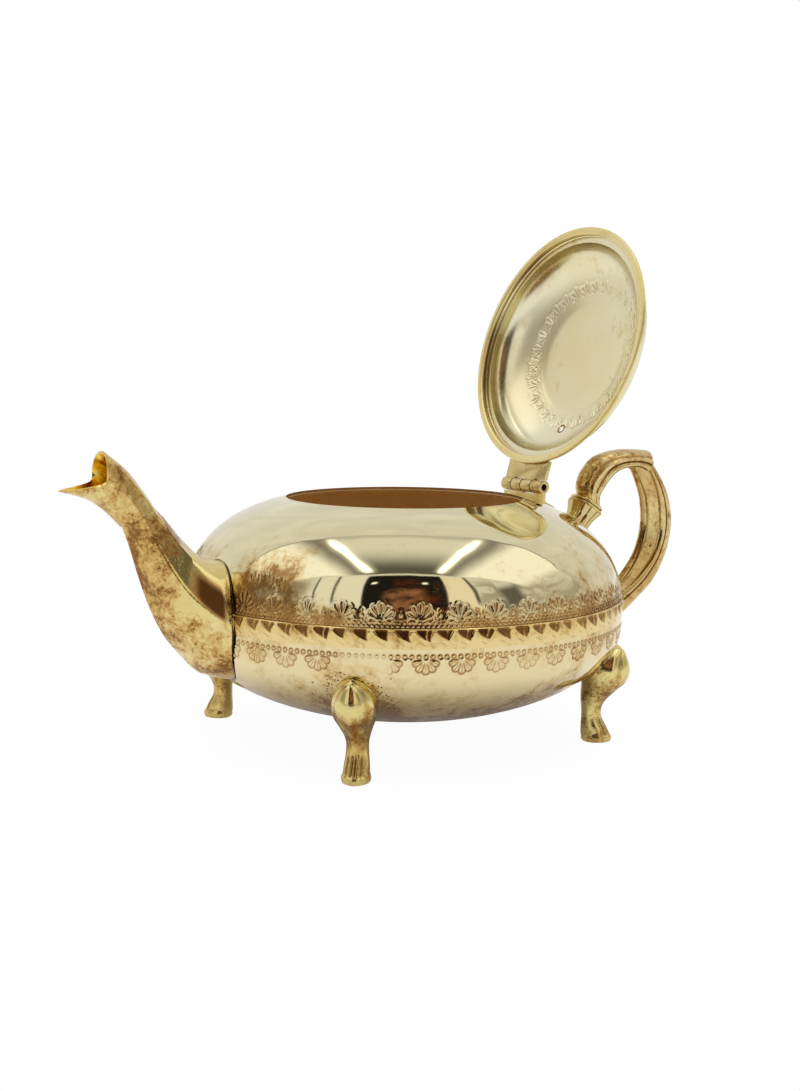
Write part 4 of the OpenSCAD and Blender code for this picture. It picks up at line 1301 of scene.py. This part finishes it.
def light_tent():
    """A white tent: a flat roof with two long lamps in it, and a front wall with a dark
    opening and a few folds."""
    world = bpy.data.worlds.new("light_tent")
    bpy.context.scene.world = world
    world.use_nodes = True
    g = Graph(world.node_tree)
    ray = g.add("TexCoord", out="Generated")
    ahead, aside = (g.vector("DOT_PRODUCT", ray, (cosd(azimuth), sind(azimuth), 0))
                    for azimuth in (FRONT, FRONT + 90))
    up = g.axis(ray, "Z")
    turn = g.math("ARCTAN2", aside, ahead) * (180 / math.pi)
    rise = g.math("ARCSINE", up) * (180 / math.pi)

    # The rear and the sides
    cloth = g.noise(ray, 2.6, 4, 0.6, 1.2)
    side_wall = g.span(turn, 40, 112, 6) * g.span(rise, 2, 44, 7)
    tent = g.coats(
        g.blend(g.between(cloth, 0.3, 0.7), grey(0.80, 0.04), grey(0.94, 0.02)),
        (side_wall * g.between(cloth, 0.42, 0.6), grey(0.5, 0.2)),
        (g.span(turn, 54, 67, 3) * g.span(rise, 14, 34, 4), grey(0.16, 0.2)),
        (g.span(turn, -98, -56, 6) * g.span(rise, 6, 38, 6) * 0.8, grey(0.3, 0.3)))

    # The front wall: s and v are across and up it
    s = aside / ahead.at_least(0.02)
    v = up / ahead.at_least(0.02)
    wall = g.between(ahead, 0.05, 0.12) * g.span(v, -0.07, 1.74, 0.02)
    tent = g.coats(tent, (wall * g.span(s, -1.25, -0.3, 0.03), grey(1.0, 0.06)),
                   (wall * g.span(s, 0.3, 0.9, 0.03), grey(1.05, 0.25)))
    for lean, across, width in ((0.24, 0.98, 0.035), (0.17, 0.70, 0.03), (-0.055, -0.84, 0.045)):
        off = (s + v * lean + across).size()
        fold = wall * (1 - g.between(off, width * 0.4, width)) * g.between(v, 0.35, 0.6)
        tent = g.blend(fold * 0.9, tent, grey(0.04, 0.2))
    half = v.at_least(0).root() * 0.13 + 0.335
    gap = wall * (1 - g.between(s.size() - half, -0.01, 0.02))
    figure = g.noise(ray, 7, 3, 0.6)
    coat = g.span(s, -0.1, 0.36, 0.1) * g.span(v, 0.2, 1.3, 0.3) * g.between(figure, 0.4, 0.65)
    face = g.span(s, -0.18, 0.22, 0.06) * g.span(v, 0.28, 0.86, 0.1) * g.between(figure, 0.3, 0.6)
    tent = g.coats(tent, (gap, grey(0.016, 0.2)), (gap * coat, (0.12, 0.03, 0.012, 1)),
                   (gap * face, (0.36, 0.17, 0.09, 1)))
    for across in (-0.36, 0.24):
        glint = g.span(s, across - 0.03, across + 0.03, 0.012) * g.span(v, 1.1, 1.19, 0.03)
        tent = g.blend(gap * glint, tent, grey(1.6))
    # Dim room beyond the tent's foot
    foot_of_tent = g.between(ahead, 0.0, 0.2) * g.span(rise, -4, 6, 2) * g.span(turn, -62, 62, 14)
    tent = g.blend(foot_of_tent * (1 - gap) * 0.55, tent, grey(0.2, 0.45))

    # The roof: a runs ahead along it and b to the side
    a = ahead / up.at_least(0.02)
    b = aside / up.at_least(0.02)
    roof = g.between(up, 0.1, 0.2) * g.span(a, -0.43, 0.57, 0.008) * g.span(b, -1.6, 1.6, 0.35)
    off_lamp = b.size() + a * 0.085 - 0.325
    shade = g.coats(
        g.blend(g.between(a, -0.12, 0.44), grey(0.90, 0.04), grey(0.13, 0.12)),
        (g.span(a, -0.5, -0.35, 0.05) * 0.5, grey(0.4, 0.05)),
        (g.between(off_lamp, 0.0, 0.03),
         g.blend(g.between(off_lamp, 0.08, 0.3), grey(0.30, 0.15), grey(1.25))),
        (g.span(a, 0.53, 0.6, 0.008), grey(0.85, 0.05)))
    length = g.between(a, -0.46, -0.25) * (1 - g.between(a, 0.42, 0.52))
    for width, weight, level in ((0.1, 0.7, 1.1), (0.05, 1.0, 3.2)):
        lamp = (1 - g.between(off_lamp.size(), 0.0, width)) * weight
        shade = g.blend(lamp * length, shade, grey(level))
    seam = g.between(up, 0.1, 0.2) * g.span(a, -0.45, -0.43, 0.006) * g.between(b.size(), 0.1, 0.5)
    tent = g.coats(tent, (roof, shade),
                   (seam * (1 - g.between(b.size(), 1.2, 1.8)) * 0.8, grey(0.1)))

    seen = g.add("LightPath", out="Is Camera Ray").at_least(
        g.add("LightPath", out="Is Transmission Ray"))
    light = g.add("Background", None, {"Color": tent, "Strength": 1.0})
    white = g.add("Background", None, {"Color": (1, 1, 1, 1), "Strength": 1.0})
    g.add("OutputWorld", None, (g.add("MixShader", None, (seen, light, white)),))


def paper_floor():
    """Pale paper under the feet, lit so that only the shade right under them shows on it."""
    bm = bmesh.new()
    bmesh.ops.create_grid(bm, x_segments=1, y_segments=1, size=6)
    bmesh.ops.translate(bm, vec=(0, 0, -0.0002), verts=bm.verts)
    floor = set_down("floor", mesh_of(bm, "floor"))
    paper = bpy.data.materials.new("white_paper")
    paper.use_nodes = True
    g = Graph(paper.node_tree)
    far = g.between(g.vector("LENGTH", g.add("TexCoord", out="Object")), 0.05, 0.105)
    share = (g.add("LightPath", out="Is Camera Ray") * (0.96 + far * 0.04)
             + g.add("LightPath", out="Is Glossy Ray") * (0.16 + far * 0.84))
    matt = g.add("BsdfDiffuse", None, {"Color": (0.92, 0.92, 0.92, 1)})
    lit = g.add("Emission", None, {"Color": (1, 1, 1, 1), "Strength": 1.0})
    g.add("OutputMaterial", None, (g.add("MixShader", None, (share, matt, lit)),))
    floor.data.materials.append(paper)


def camera():
    """A camera a little above the lid's hinge, looking slightly down."""
    heading, pitch, roll = 33.06, 7.22, 0.63
    ahead = Vector((sind(heading), cosd(heading), 0))
    right = Vector((cosd(heading), -sind(heading), 0))
    up = Vector((0, 0, 1))
    look = ahead * cosd(pitch) - up * sind(pitch)
    top = up * cosd(pitch) + ahead * sind(pitch)
    x_axis = right * cosd(roll) + top * sind(roll)
    y_axis = top * cosd(roll) - right * sind(roll)
    data = bpy.data.cameras.new("camera")
    data.sensor_fit = "VERTICAL"
    data.sensor_height = 24
    data.lens = 31.084
    data.clip_start = 0.01
    eye = set_down("camera", data)
    turn = Matrix((x_axis, y_axis, -look)).transposed().to_4x4()
    eye.matrix_world = Matrix.Translation(Vector((-280.6, -428.6, 132.9)) * MM) @ turn
    bpy.context.scene.camera = eye


camera()
light_tent()
paper_floor()
body_upper()
body_lower()
belly_band()
for corner, angle in (("rear_left", 45), ("front_left", 135), ("front_right", 225),
                      ("rear_right", 315)):
    foot(corner, angle)
punch_marks()
spout_neck()
spout_beak()
spout_solder_shade()
handle_socket()
handle()
hinge()
lid_dome()
lid_rim()
finial()

bpy.context.scene.view_settings.view_transform = "Standard"
